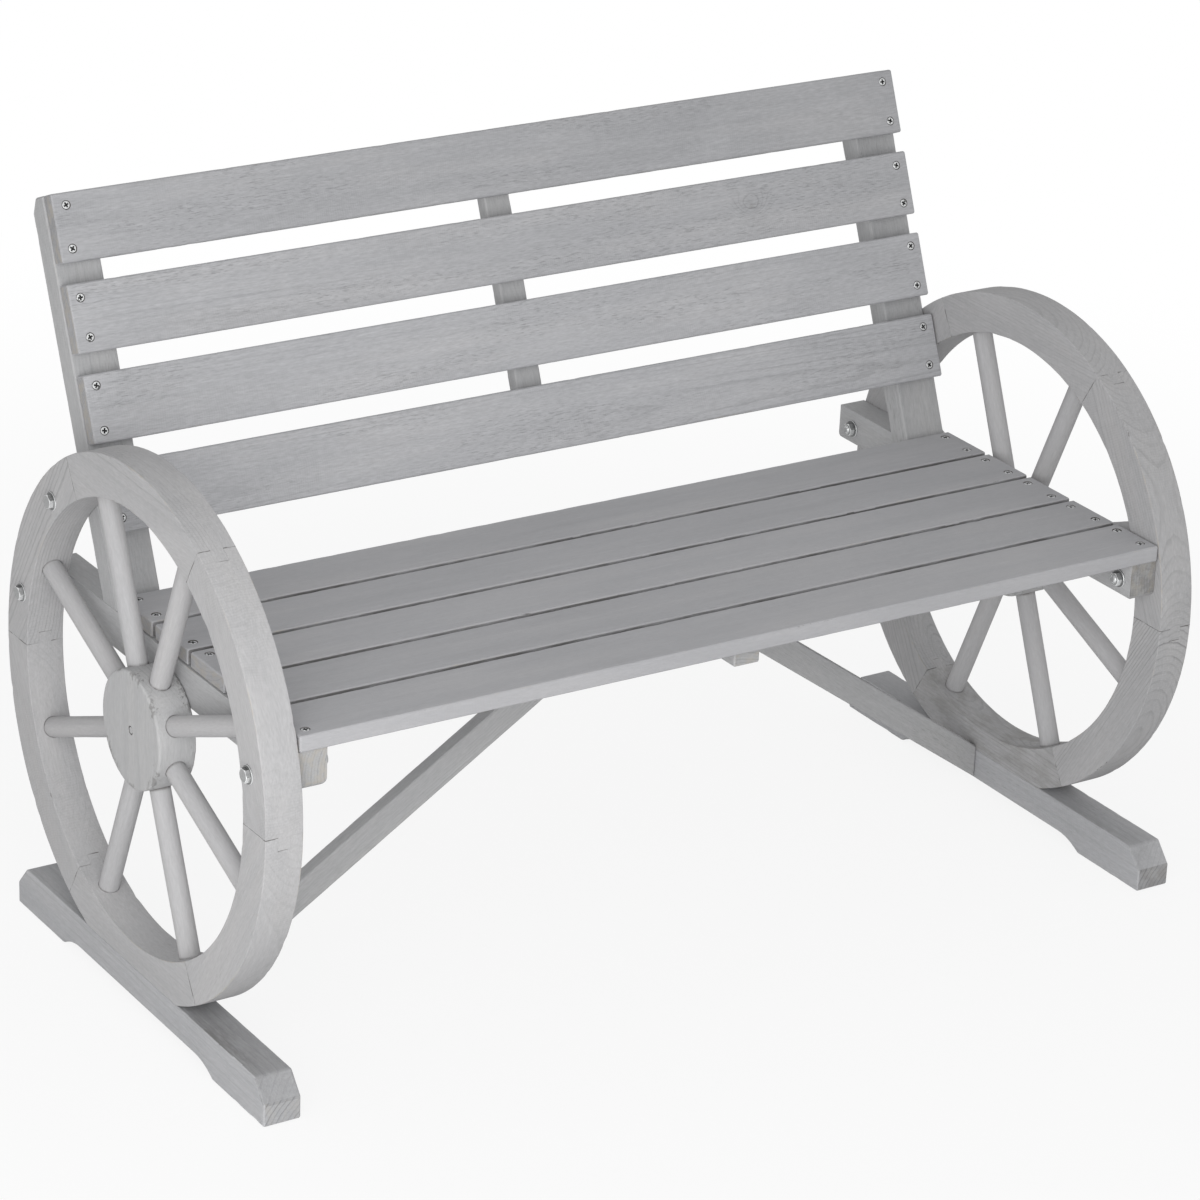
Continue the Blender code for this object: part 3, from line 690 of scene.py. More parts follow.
def slice_at(solid, at, way, clear=False):
    """Cuts a solid by a plane and gives back the cut. What lies beyond the plane can be cleared."""
    return bmesh.ops.bisect_plane(solid, geom=solid.verts[:] + solid.edges[:] + solid.faces[:], dist=0.000001,
                                  plane_co=at, plane_no=way, clear_outer=clear)["geom_cut"]


def bevel(solid, edges, width, segments=1):
    bmesh.ops.bevel(solid, geom=edges, offset=width, offset_type="OFFSET", segments=segments, profile=0.5,
                    affect="EDGES", clamp_overlap=True)


def convex_edges(solid, degrees):
    least = math.radians(degrees)
    return [edge for edge in solid.edges if edge.is_convex and edge.calc_face_angle(0.0) > least]


def wear_arrises(solid, gap_at, seed, more_wear=1.0, more_chips=1.0):
    """Pushes points near an arris inwards, unevenly, with a few deeper chips."""
    reach, fade = 0.0022, 0.0030
    wear_waves, chip_waves, chip_start, chip_gain = 42.0, 75.0, 0.34, 2.6
    edges = bpy.context.scene.bench_edges
    wear, chips = edges.wear * more_wear, edges.chips * more_chips
    solid.normal_update()
    shift = Vector((seed * 3.1, seed * 1.7, 0.0))
    for vert in solid.verts:
        gap = gap_at(vert.co)
        if gap > reach:
            continue
        uneven = abs(noise.noise(vert.co * wear_waves + shift))
        chip = max(0.0, noise.noise(vert.co * chip_waves - shift) - chip_start)
        vert.co -= vert.normal * (wear * uneven + chips * min(1.0, chip * chip_gain)) * (1.0 - gap / fade)


def board_solid(node, turn, seed):
    """The node's own solid in the board's axes, with its chamfers rounded over, sliced and worn."""
    edges = bpy.context.scene.bench_edges
    solid = bmesh.new()
    solid.from_mesh(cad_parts[node].data)
    bmesh.ops.remove_doubles(solid, verts=solid.verts, dist=0.00001)
    bmesh.ops.transform(solid, matrix=turn.inverted().to_4x4(), verts=solid.verts)
    bmesh.ops.dissolve_limit(solid, angle_limit=math.radians(1.0), verts=solid.verts, edges=solid.edges)
    bevel(solid, convex_edges(solid, 24), edges.round_over)
    low = Vector([min(vert.co[i] for vert in solid.verts) for i in range(3)])
    high = Vector([max(vert.co[i] for vert in solid.verts) for i in range(3)])
    count = max(2, round((high.x - low.x) / edges.slice_length))
    for i in range(1, count):
        slice_at(solid, Vector((low.x + (high.x - low.x) * i / count, 0, 0)), RIGHT)
    middle, half = (low + high) / 2, (high - low) / 2

    def gap_at(point):
        return sorted(half[i] - abs(point[i] - middle[i]) for i in range(3))[1]

    wear_arrises(solid, gap_at, seed)
    return solid, middle, half


# Painted shade on a board's upper side given as its tone, and place along it and strength of its dark marks
TopShadeAndMarks = namedtuple("TopShadeAndMarks", "tone place seam")
FLAT_ON = 0.88
MARKS_REACH = 0.075


def add_board(node, turn, slot, wash, seed, cutter=None, holes=(), hole_radius=0.0, front_seam=0.0,
              end_seam=0.0, top=None, **look):
    """One washed board in place of its node.

    The cutter makes a solid to take out of it, from its middle and half size. The walls of the holes get painted shade.
    The front side is darkened by its share as painted shade in the gaps between slats and partly as wood the wash
    missed, and the ends are darkened by their share. The top's own tone is painted shade on its upper side, and the top
    has dark marks round a place along it, on its left half.
    """
    solid, middle, half = board_solid(node, turn, seed)
    piece = new_piece(node + "_board", solid, turn.to_4x4(), washed_wood(slot, wash))
    if cutter:
        carve(piece, cutter(middle, half))
    mesh = piece.data
    place = points_of(mesh) - np.array(middle)
    normals = normals_of(mesh)
    end = np.clip((np.abs(normals[:, 0]) - 0.78) / 0.18, 0, 1)
    # Front sides are darker by their share: painted shade in the gaps between slats, partly wood the wash missed.
    seam = np.where(normals[:, 1] < -FLAT_ON, front_seam, end_seam * end)
    centres = centres_of(mesh)
    # The walls of the screw holes get painted shade.
    for hole in holes:
        away = centres - np.array(hole)
        inside = (np.hypot(away[:, 0], away[:, 1]) < hole_radius) & (away[:, 2] < -0.0002)
        end[inside] = 0.0
        seam[inside] = 1.0
    if top:
        slanted = (normals[:, 1] > 0.35) & (np.abs(normals[:, 0]) > 0.3)
        above = (normals[:, 1] > FLAT_ON) | slanted
        # The upper side's tone darkens it as painted shade.
        look["tone"] = look["tone"] * np.where(above, top.tone, 1.0)
        points, faces = corners_of(mesh)
        near = np.exp(-((place[points, 0] - top.place) / MARKS_REACH) ** 2)
        seam = seam[faces] + top.seam * near * (above[faces] & (place[points, 2] < 0))
    stamp_wood(mesh, place, place, half, seed, end=end, seam=seam, **look)
    fix_piece(piece, slot, node)


def screw_radius():
    return bpy.context.scene.bench_hardware.screw_diameter / 2


def screw_spots(middle, half, pair, seed):
    """Places of a slat's four screws on its face, in the board's axes."""
    screws = bpy.context.scene.bench_hardware
    dice = random.Random(seed)
    spots = []
    for end in (-1, 1):
        for down in (screws.screw_edge, screws.screw_edge + pair):
            x = end * (half.x - screws.screw_inset + dice.uniform(-1, 1) * screws.screw_stray)
            y = half.y - down + dice.uniform(-1, 1) * screws.screw_stray
            spots.append(middle + Vector((x, y, half.z)))
    return spots


def countersinks(spots, radius, depth):
    """Round recesses for screw heads, a little wider at the face."""
    rows = ((-depth, radius - 0.0004), (-0.0005, radius), (0.0, radius + 0.0004), (0.001, radius + 0.0014))
    solid = bmesh.new()
    for spot in spots:
        loft_into(solid, [[spot + X_TO_UP @ point for point in ring(x, size, 28)] for x, size in rows])
    return face_outward(solid)


def screw_head():
    """Countersunk head with a cross recess, its top at the origin and facing up."""
    name = "screw_head"
    if name in bpy.data.meshes:
        return bpy.data.meshes[name]
    radius = screw_radius()
    rows = ((-0.0030, 0.42), (-0.0004, 0.96), (-0.00015, 1.0), (0.0, 0.95), (0.00012, 0.70), (0.00018, 0.40))
    solid = loft([ring(x, share * radius, 36) for x, share in rows])
    bmesh.ops.rotate(solid, verts=solid.verts, matrix=X_TO_UP)
    piece = new_piece("screw_blank", solid, Matrix.Identity(4), zinc_plate())
    arm, width = radius * 0.74, radius * 0.24
    corners = [(arm, -width), (arm, width), (width, width), (width, arm), (-width, arm), (-width, width)]
    corners += [(-x, -y) for x, y in corners]
    levels = ((-0.0017, 0.50), (0.0006, 1.08))
    carve(piece, loft([[Vector((x * share, y * share, z)) for x, y in corners] for z, share in levels]))
    mesh = piece.data
    bpy.data.objects.remove(piece)
    mesh.name = name
    return mesh


def add_screws(name, spots, turn, sink, paint, seed):
    """The screws of one board as one piece."""
    tilt, recess_shade = 0.05, 0.93
    dice = random.Random(seed)
    head = screw_head()
    solid = bmesh.new()
    for spot in spots:
        first = len(solid.verts)
        solid.from_mesh(head)
        solid.verts.ensure_lookup_table()
        lean = Matrix.Rotation(dice.uniform(-tilt, tilt), 4, "X") @ Matrix.Rotation(dice.uniform(-tilt, tilt), 4, "Y")
        place = Matrix.Translation(spot - UP * sink) @ lean @ Matrix.Rotation(dice.uniform(0, math.pi), 4, "Z")
        bmesh.ops.transform(solid, matrix=place, verts=solid.verts[first:])
    piece = new_piece(name, solid, turn.to_4x4(), paint)
    mesh = piece.data
    stamp(mesh, "grain", points_of(mesh) + seed * 0.37)
    away = centres_of(mesh)[:, None, :] - (np.array(spots) - np.array(UP * sink))[None, :, :]
    nearest = np.argmin(np.linalg.norm(away, axis=2), axis=1)
    away = away[np.arange(len(away)), nearest]
    # The cross recess gets painted shade.
    recess = (np.hypot(away[:, 0], away[:, 1]) < 0.90 * screw_radius()) & (away[:, 2] < -0.0001)
    stamp(mesh, "grime", np.where(recess, recess_shade, 0.0))
    fix_piece(piece, "zinc", crease=30.0)


def add_slat(node, turn, slot, wash, seed, pair, sink, paint, **look):
    """A slat with its four sunk screws."""
    radius = screw_radius() + FIT + 0.5 * sink
    spots = []

    def cutter(middle, half):
        spots.extend(screw_spots(middle, half, pair, seed))
        return countersinks(spots, radius, sink + 0.0032)

    add_board(node, turn, slot, wash, seed, cutter, spots, radius + FIT, **look)
    add_screws(node + "_screws", spots, turn, sink, paint, seed)


def add_batten(node, turn, slats, wash):
    """A middle batten with one screw, from behind or below, into each slat."""
    stray, seed, spots = (0.003, 0.002), SEEDS[node], []

    def cutter(middle, half):
        dice = random.Random(seed)
        for slat in slats:
            centre = turn.inverted() @ middle_of(slat)
            shift = [dice.uniform(-size, size) for size in stray]
            spots.append(Vector((centre.x, middle.y, middle.z)) + Vector((*shift, half.z)))
        return countersinks(spots, screw_radius() + 0.0004, 0.0038)

    add_board(node, turn, "frame", wash, seed, cutter)
    add_screws(node + "_screws", spots, turn, 0.0005, zinc_plate(), seed)


def spoke_angle(k):
    return (k + 0.5) * FULL_TURN / SPOKE_COUNT


def spoke_way(angle):
    return Vector((0, math.cos(angle), math.sin(angle)))


def felloe_solid():
    """One sixth of the rim about the X axis, with stepped fingers at both ends, its corners still sharp."""
    body = FELLOE_SPAN - FINGER_ANGLE - JOINT_GAP / RIM_MIDDLE
    stations = (-WHEEL_WIDTH / 2, -FINGER_HALF_WIDTH, FINGER_HALF_WIDTH, WHEEL_WIDTH / 2)
    solid = bmesh.new()

    def turn(verts, angle):
        bmesh.ops.rotate(solid, verts=verts, cent=(0, 0, 0), matrix=Matrix.Rotation(angle, 3, "X"))

    def push(faces, angle, open_start=True):
        grown = bmesh.ops.extrude_face_region(solid, geom=faces)["geom"]
        turn([item for item in grown if isinstance(item, bmesh.types.BMVert)], angle)
        ends = [item for item in grown if isinstance(item, bmesh.types.BMFace)]
        if open_start:
            bmesh.ops.delete(solid, geom=faces, context="FACES")
        return sorted(ends, key=lambda face: face.calc_center_median().x)

    inner = [solid.verts.new((x, RIM_INNER, 0)) for x in stations]
    outer = [solid.verts.new((x, WHEEL_RADIUS, 0)) for x in stations]
    near = [solid.faces.new((inner[i], inner[i + 1], outer[i + 1], outer[i])) for i in range(3)]
    turn(solid.verts, FINGER_ANGLE)
    far = push(near, body / FELLOE_STEPS, open_start=False)
    for _ in range(FELLOE_STEPS - 1):
        far = push(far, body / FELLOE_STEPS)
    for vert in far[1].verts:
        vert.co.x -= math.copysign(JOINT_GAP, vert.co.x)
    push([far[1]], FINGER_ANGLE)
    for cheek in (near[0], near[2]):
        push([cheek], -FINGER_ANGLE)
    return face_outward(solid)


def rim_height(point):
    """How far outside the middle of the rim's section a point in the wheel's axes lies."""
    return math.hypot(point.y, point.z) - RIM_MIDDLE


def rim_gap(point):
    return max(RIM_DEPTH / 2 - abs(rim_height(point)), WHEEL_WIDTH / 2 - abs(point.x))


def ease_felloe(solid):
    """Rounds the rim's four long edges and eases the edges at the joints."""
    def is_long(edge):
        start, end = [vert.co for vert in edge.verts]
        on_edge = rim_gap(start) < 0.0001 and rim_gap(end) < 0.0001
        round_rim = abs((end - start).normalized().x) < 0.1 and abs(rim_height(end) - rim_height(start)) < 0.001
        return on_edge and edge.calc_length() > 0.002 and round_rim

    bevel(solid, [edge for edge in solid.edges if is_long(edge) and edge.calc_face_angle(0.0) > 1.0], 0.0013, 2)
    solid.normal_update()
    bevel(solid, convex_edges(solid, 60), bpy.context.scene.bench_edges.joint_groove)


def flatten_felloe(solid, turn, middle):
    """Cuts a felloe off level with the skid, if it reaches that far down."""
    back = Matrix.Rotation(-turn, 4, "X")
    level = back @ Vector((0, 0, SKID_TOP + FIT - middle.z))
    down = back.to_3x3() @ -UP
    if min((vert.co - level).dot(-down) for vert in solid.verts) < 0:
        cut = slice_at(solid, level, down, clear=True)
        bmesh.ops.contextual_create(solid, geom=[item for item in cut if isinstance(item, bmesh.types.BMEdge)])


def felloe_cutter(label, turn, middle):
    """Spoke sockets and bolt holes that reach into a felloe, in the felloe's axes."""
    margin = 0.1
    cutter = bmesh.new()
    for s in range(SPOKE_COUNT):
        angle = (spoke_angle(s) - turn + math.pi / 2) % FULL_TURN - math.pi / 2
        if -margin < angle < FELLOE_SPAN + margin:
            way = spoke_way(angle)
            rod_into(cutter, way * (RIM_INNER - 0.01), way * SPOKE_END, SPOKE_RADIUS + FIT, SPOKE_SIDES)
    for bolt in BOLT_NAMES:
        spot = Matrix.Rotation(-turn, 4, "X") @ (middle_of(f"bolt_{label}_{bolt}") - middle)
        if -margin < math.atan2(spot.z, spot.y) < FELLOE_SPAN + margin:
            spot.x = 0
            rod_into(cutter, spot - RIGHT * WHEEL_WIDTH, spot + RIGHT * WHEEL_WIDTH, BOLT_RADIUS + FIT)
    return face_outward(cutter)


def joint_nearness(mesh, points):
    """For each face corner, 1 at the felloe's own joints and 1 less for every joint reach round the rim."""
    corners, faces = corners_of(mesh)
    across = centres_of(mesh)[faces, 0]
    start = np.where(np.abs(across) < FINGER_HALF_WIDTH, FINGER_ANGLE, 0.0)
    angle = np.arctan2(points[corners, 2], points[corners, 1])
    far = np.minimum(angle - start, start + FELLOE_SPAN - angle) * RIM_MIDDLE
    return 1 - far / JOINT_REACH


# Felloes whose rings or dark blotches stand out, and how the right wheel differs from the left
ODD_FELLOES = {
    ("right", 4): {"heart": (-0.060, 0.008), "figure": 3.2},
    ("right", 5): {"stain": 0.50, "tone": 0.94},
    ("left", 1): {"heart": (0.028, 0.046), "figure": 1.8},
    ("left", 2): {"heart": (0.012, 0.065), "figure": 0.9},
    ("left", 3): {"heart": (0.058, 0.010), "figure": 0.5},
    ("left", 4): {"heart": (0.050, -0.020), "figure": 0.4},
}
WHEEL_FIGURE = {"left": 1.0, "right": 1.9}
WHEEL_TONE = {"left": 1.0, "right": 0.96}


def add_felloe(label, k, wash, seed):
    """One felloe of a wheel's rim, with its sockets and bolt holes."""
    node = f"felloe_{label}_{k + 1}"
    middle = middle_of("hub_" + label)
    turn = k * FULL_TURN / FELLOE_COUNT
    solid = felloe_solid()
    ease_felloe(solid)
    wear_arrises(solid, rim_gap, seed)
    flatten_felloe(solid, turn, middle)
    place = Matrix.Translation(middle) @ Matrix.Rotation(turn, 4, "X")
    piece = new_piece(node + "_sawn", solid, place, washed_wood("rim", wash))
    carve(piece, felloe_cutter(label, turn, middle))
    mesh = piece.data
    points = points_of(mesh)
    radius = np.hypot(points[:, 1], points[:, 2])
    section = np.column_stack((np.zeros(len(points)), radius - RIM_MIDDLE, points[:, 0]))
    centre = FELLOE_SPAN / 2 + FINGER_ANGLE / 2
    chord = np.array((0, -math.sin(centre), math.cos(centre)))
    outward = np.array((0, math.cos(centre), math.sin(centre)))
    grain = np.column_stack((points @ chord, points @ outward - RIM_MIDDLE, points[:, 0]))
    dice = random.Random(seed)
    look = {"heart": (dice.choice((-1, 1)) * dice.uniform(0.035, 0.060), dice.uniform(-0.050, 0.050)),
            "figure": dice.uniform(0.4, 0.9) * WHEEL_FIGURE[label],
            "tone": dice.uniform(0.98, 1.02) * WHEEL_TONE[label]}
    look.update(ODD_FELLOES.get((label, k + 1), {}))
    stamp_wood(mesh, grain, section, (1.0, RIM_DEPTH / 2, WHEEL_WIDTH / 2), seed, **look)
    stamp(mesh, "joint", joint_nearness(mesh, points))
    fix_piece(piece, "rim", node)


def add_spoke(label, k, wash, seed):
    """A turned dowel between hub and rim, a little uneven, with a dark line where it enters them."""
    node = f"spoke_{label}_{k + 1}"
    free_steps, tip_cut, uneven, dark = 26, 0.0015, 0.00022, 0.8
    hub_line, rim_line = HUB_RADIUS - 0.0002, RIM_INNER + 0.0006
    stations = [SPOKE_START + FIT, SPOKE_START + 0.0018, HUB_RADIUS - 0.003, hub_line, HUB_RADIUS + 0.0022]
    free_start, free = stations[-1], (RIM_INNER - 0.0022) - stations[-1]
    stations += [free_start + free * i / free_steps for i in range(1, free_steps + 1)]
    stations += [rim_line, RIM_INNER + 0.003, SPOKE_END - 0.0018, SPOKE_END - FIT]

    def reach(x):
        tip = tip_cut if x in (stations[0], stations[-1]) else 0.0

        def at(angle):
            spot = Vector((x * 16.0, math.cos(angle) * 0.7, math.sin(angle) * 0.7 + seed * 2.3))
            return SPOKE_RADIUS - tip - uneven * abs(noise.noise(spot))

        return at

    solid = loft([ring(x, reach(x), SPOKE_SIDES) for x in stations])
    quarter = Matrix.Rotation(math.pi / 2, 4, "Z")
    place = Matrix.Translation(middle_of("hub_" + label)) @ Matrix.Rotation(spoke_angle(k), 4, "X") @ quarter
    piece = new_piece(node + "_turned", solid, place, washed_wood("spoke", wash))
    mesh = piece.data
    points = points_of(mesh)
    seam = np.zeros(len(points))
    for x in (hub_line, rim_line):
        seam[np.abs(points[:, 0] - x) < 0.00005] = dark
    end = (np.abs(normals_of(mesh)[:, 0]) > 0.7).astype(float)
    stamp_wood(mesh, points, np.zeros_like(points), (1.0, 1.0, 1.0), seed, end=end, seam=seam)
    fix_piece(piece, "spoke", node)


def hub_rows():
    """Places along the axis and radii of a hub's rings, from its inner face to the foot of its centre hole."""
    half, soft, lip = WHEEL_WIDTH / 2, 0.0022, 0.0004
    arc = [math.pi / 2 * i / 4 for i in range(5)]
    corner = [(half - soft * (1 - math.sin(a)), HUB_RADIUS - soft * (1 - math.cos(a))) for a in arc]
    rows = [(-half, share * HUB_RADIUS) for share in (0.30, 0.62, 0.86)]
    rows += [(-x, radius) for x, radius in reversed(corner)]
    rows += [(-half + WHEEL_WIDTH * i / 8, HUB_RADIUS) for i in range(1, 8)]
    rows += corner
    rows += [(half, share * HUB_RADIUS) for share in (0.93, 0.80, 0.60, 0.35, 0.15)]
    rows += [(half, HUB_HOLE_RADIUS + lip), (half - lip, HUB_HOLE_RADIUS), (half - HUB_HOLE_DEPTH, HUB_HOLE_RADIUS)]
    return rows


def add_hub(label, wash, seed):
    """A turned disc with a rounded edge, spoke sockets and a plugged centre hole."""
    side = SIDES[label]
    place = Matrix.Translation(middle_of("hub_" + label))
    half = WHEEL_WIDTH / 2
    solid = loft([ring(side * x, radius, HUB_SIDES) for x, radius in hub_rows()])

    def gap_at(point):
        return max(HUB_RADIUS - math.hypot(point.y, point.z), half - abs(point.x))

    wear_arrises(solid, gap_at, seed, more_wear=1.4, more_chips=1.5)
    piece = new_piece(f"hub_{label}_turned", solid, place, washed_wood("hub", wash))
    cutter = bmesh.new()
    for s in range(SPOKE_COUNT):
        way = spoke_way(spoke_angle(s))
        rod_into(cutter, way * SPOKE_START, way * (HUB_RADIUS + 0.02), SPOKE_RADIUS + FIT, SPOKE_SIDES)
    carve(piece, face_outward(cutter))
    mesh = piece.data
    points = points_of(mesh)
    radius = np.hypot(points[:, 1], points[:, 2])
    section = np.column_stack((np.zeros(len(points)), radius, points[:, 0]))
    end = np.clip((np.abs(normals_of(mesh)[:, 2]) - 0.75) / 0.3, 0, 1)
    # The centre hole's walls get painted shade.
    in_hole = (radius < HUB_HOLE_RADIUS + 0.0003) & (side * points[:, 0] < half - 0.0002)
    stamp_wood(mesh, points[:, ::-1], section, (1.0, HUB_RADIUS, half), seed, end=end, seam=in_hole.astype(float))
    fix_piece(piece, "hub", "hub_" + label)

    top = half - 0.0005
    plug_rows = ((half - HUB_HOLE_DEPTH + FIT, 0.78), (top - 0.0004, 0.78), (top, 0.68), (top + 0.0002, 0.36))
    plug = loft([ring(side * x, share * HUB_HOLE_RADIUS, 32) for x, share in plug_rows])
    piece = new_piece(f"hub_{label}_plug", plug, place, washed_wood("hub", wash))
    points = points_of(piece.data)
    # The plug's side gets painted shade, so that the hole shows as a dark ring.
    on_side = np.hypot(points[:, 1], points[:, 2]) > 0.73 * HUB_HOLE_RADIUS
    stamp_wood(piece.data, points, np.zeros_like(points), (1.0, 1.0, 1.0), seed + 50, seam=on_side.astype(float))
    fix_piece(piece, "hub")


def hexagon(crown):
    """Radius of a hexagon by angle, cut by a round crown of the given radius."""
    def at(angle):
        sector = (angle + math.pi / 6) % (math.pi / 3) - math.pi / 6
        return min(HEX_ACROSS / 2 / math.cos(sector), crown)

    return at


def hex_rows(start, height, both=False):
    """Rings of a hexagon head or nut with crowned corners, from start upwards along X."""
    steps = 5
    corner = HEX_ACROSS / math.sqrt(3)
    inward = corner - HEX_ACROSS / 2 * 0.96
    drop = inward * 0.58
    shares = [i / steps for i in range(steps + 1)]
    rows = [(start + height - drop * (1 - share), corner - inward * share) for share in shares]
    if both:
        rows = [(2 * start + height - x, radius) for x, radius in reversed(rows)] + rows
    else:
        rows.insert(0, (start, corner))
    return [ring(x, hexagon(crown), HEX_SIDES) for x, crown in rows]


def washer_rows(start):
    """Rings of a flat washer with eased edges, from start upwards along X, as a tube."""
    soft = 0.0003
    top = start + WASHER_THICKNESS
    rows = ((start, WASHER_BORE), (start, WASHER_RADIUS - soft), (start + soft, WASHER_RADIUS),
            (top - soft, WASHER_RADIUS), (top, WASHER_RADIUS - soft), (top, WASHER_BORE))
    return [ring(x, radius, 64) for x, radius in rows]


def thread_radius(x):
    """Radius by angle of a threaded bar at x."""
    def at(angle):
        turn = (x / THREAD_PITCH + angle / FULL_TURN) % 1.0
        return BOLT_RADIUS - THREAD_DEPTH * abs(2 * turn - 1)

    return at


def stamp_zinc(piece, seed):
    """Writes what the zinc reads: its grain, and painted shade, none on the crowned edges, which stand out as a painted
    highlight, and most on the washer as a painted shadow round the head and on upper sides.
    """
    washer_shadow, flat_shade, side_shade, upward_shade, most_shade = 0.74, 0.50, 0.16, 0.66, 0.86
    mesh = piece.data
    stamp(mesh, "grain", points_of(mesh) + seed * 0.37)
    normals = normals_of(mesh)
    facing = np.abs(normals[:, 0])
    upward = normals @ np.array(piece.matrix_world.to_3x3())[2]
    # Sides facing up get more painted shade.
    sides = np.clip(side_shade + upward_shade * upward, 0.0, most_shade)
    washer = np.abs(np.abs(centres_of(mesh)[:, 0]) - WASHER_THICKNESS) < 0.0004
    kinds = [(facing > 0.95) & washer, facing > 0.95, facing < 0.3]
    stamp(mesh, "grime", np.select(kinds, [washer_shadow, flat_shade, sides], 0.0))


def add_hardware(node, solid, spot, side, seed):
    """A bolt or nut at its spot, facing its side and turned by chance."""
    facing = Matrix.Rotation(math.pi if side > 0 else 0.0, 4, "Z")
    spin = Matrix.Rotation(random.Random(seed).uniform(0, math.pi), 4, "X")
    place = Matrix.Translation(spot) @ facing @ spin
    piece = new_piece(node + "_zinc", face_outward(solid), place, zinc_plate())
    stamp_zinc(piece, seed)
    fix_piece(piece, "zinc", node, crease=24.0)


def add_bolt(label, bolt, seed):
    """Hexagon bolt with its washer. The two rail bolts are threaded where their nuts are."""
    node = f"bolt_{label}_{bolt}"
    side = SIDES[label]
    low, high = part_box(node)
    spot = (low + high) / 2
    head = WASHER_THICKNESS + HEAD_HEIGHT
    reach = high.x - low.x - head
    tip, thread_length = 0.0015, 0.022
    grip = reach - tip
    rows = [[Vector((-point.x - head - WASHER_THICKNESS, point.y, point.z)) for point in points]
            for points in reversed(hex_rows(-head, HEAD_HEIGHT))]
    rows.append(ring(-WASHER_THICKNESS, BOLT_RADIUS, HEX_SIDES))
    if bolt == "post":
        rows += [ring(x, BOLT_RADIUS, HEX_SIDES) for x in (reach * 0.5, grip)]
    else:
        plain = reach - thread_length
        rows.append(ring(plain, BOLT_RADIUS, HEX_SIDES))
        count = int((grip - plain) / (THREAD_PITCH / 6))
        stations = [plain + (grip - plain) * i / count for i in range(1, count + 1)]
        rows += [ring(x, thread_radius(x), HEX_SIDES) for x in stations]
    rows.append(ring(reach, BOLT_RADIUS - 0.0013, HEX_SIDES))
    solid = bmesh.new()
    loft_into(solid, rows)
    loft_into(solid, washer_rows(-WASHER_THICKNESS + FIT * 0.2), tube=True)
    outer = high.x if side > 0 else low.x
    add_hardware(node, solid, (outer - side * head, spot.y, spot.z), side, seed)


def add_nut(label, bolt, seed):
    """Hexagon nut with its washer on the inner face of a seat rail."""
    node = f"nut_{label}_{bolt}"
    side = SIDES[label]
    low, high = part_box(node)
    spot = (low + high) / 2
    bore, lip = BOLT_RADIUS + 0.0002, 0.0006
    rows = hex_rows(WASHER_THICKNESS, NUT_HEIGHT, both=True)
    first, last = rows[0][0].x, rows[-1][0].x
    foot = [ring(first + lip, bore, HEX_SIDES), ring(first, bore + lip, HEX_SIDES)]
    crown = [ring(last, bore + lip, HEX_SIDES), ring(last - lip, bore, HEX_SIDES)]
    solid = bmesh.new()
    loft_into(solid, foot + rows + crown, tube=True)
    loft_into(solid, washer_rows(0.0), tube=True)
    add_hardware(node, solid, (low.x if side < 0 else high.x, spot.y, spot.z), side, seed)


class BENCH_OT_seat_slats(bpy.types.Operator):
    """Make the five seat slats and their sunk, partly washed screws"""

    bl_idname = "bench.seat_slats"
    bl_label = "Seat slats"

    def execute(self, context):
        wash = context.scene.bench_wash.seat_slats
        pair = context.scene.bench_hardware.screw_pair - 0.0013
        paint = zinc_plate("washed_zinc", 0.36)
        # The front sides of the first four slats face the gaps and get painted shade there, partly as wood the wash
        # missed.
        looks = ((1.00, 0.75), (1.02, 0.75), (1.03, 0.75), (1.00, 0.75), (1.01, 0.0))
        for i, (tone, front_seam) in enumerate(looks):
            add_slat(f"seat_slat_{i + 1}", axes(RIGHT, REAR), "seat_slats", wash, SEEDS["seat_slats"] + i, pair,
                     0.0007, paint, front_seam=front_seam, end_seam=0.12, tone=tone)
        return {"FINISHED"}


class BENCH_OT_back_slats(bpy.types.Operator):
    """Make the four back slats and their bright screws"""

    bl_idname = "bench.back_slats"
    bl_label = "Back slats"

    def execute(self, context):
        wash = context.scene.bench_wash.back_slats
        pair = context.scene.bench_hardware.screw_pair
        looks = ({"tone": 0.93, "knot": (0.262, -0.020, -0.9)}, {"tone": 0.99, "knot": (0.293, 0.002, 1.0)},
                 {"tone": 1.05}, {"tone": 1.06, "figure": 1.9})
        for i, look in enumerate(looks):
            add_slat(f"back_slat_{i + 1}", axes(RIGHT, UP_THE_BACK), "back_slats", wash, SEEDS["back_slats"] + i, pair,
                     0.0004, zinc_plate(), end_seam=0.10, **look)
        return {"FINISHED"}


class BENCH_OT_frame(bpy.types.Operator):
    """Make the posts, seat rails, middle battens and braces"""

    bl_idname = "bench.frame"
    bl_label = "Frame"

    def execute(self, context):
        wash = context.scene.bench_wash.frame_boards
        rail_end_seams = {"left": 0.0, "right": 0.45}
        for i, label in enumerate(SIDES):
            add_board("post_" + label, axes(UP_THE_BACK, RIGHT), "frame", wash, SEEDS["posts"] + i)
            add_board("rail_" + label, axes(REAR, UP), "frame", wash, SEEDS["rails"] + i,
                      end_seam=rail_end_seams[label])
            low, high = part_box("brace_" + label)
            rise = math.atan2(high.z - low.z, high.x - low.x)
            way = Vector((SIDES[label] * math.cos(rise), 0, -math.sin(rise)))
            add_board("brace_" + label, axes(way, REAR), "frame", wash, SEEDS["braces"] + i)
        add_batten("back_stile", axes(UP_THE_BACK, RIGHT), [f"back_slat_{i}" for i in range(1, 5)], wash)
        add_batten("seat_bearer", axes(REAR, RIGHT), [f"seat_slat_{i}" for i in range(1, 6)], wash)
        return {"FINISHED"}


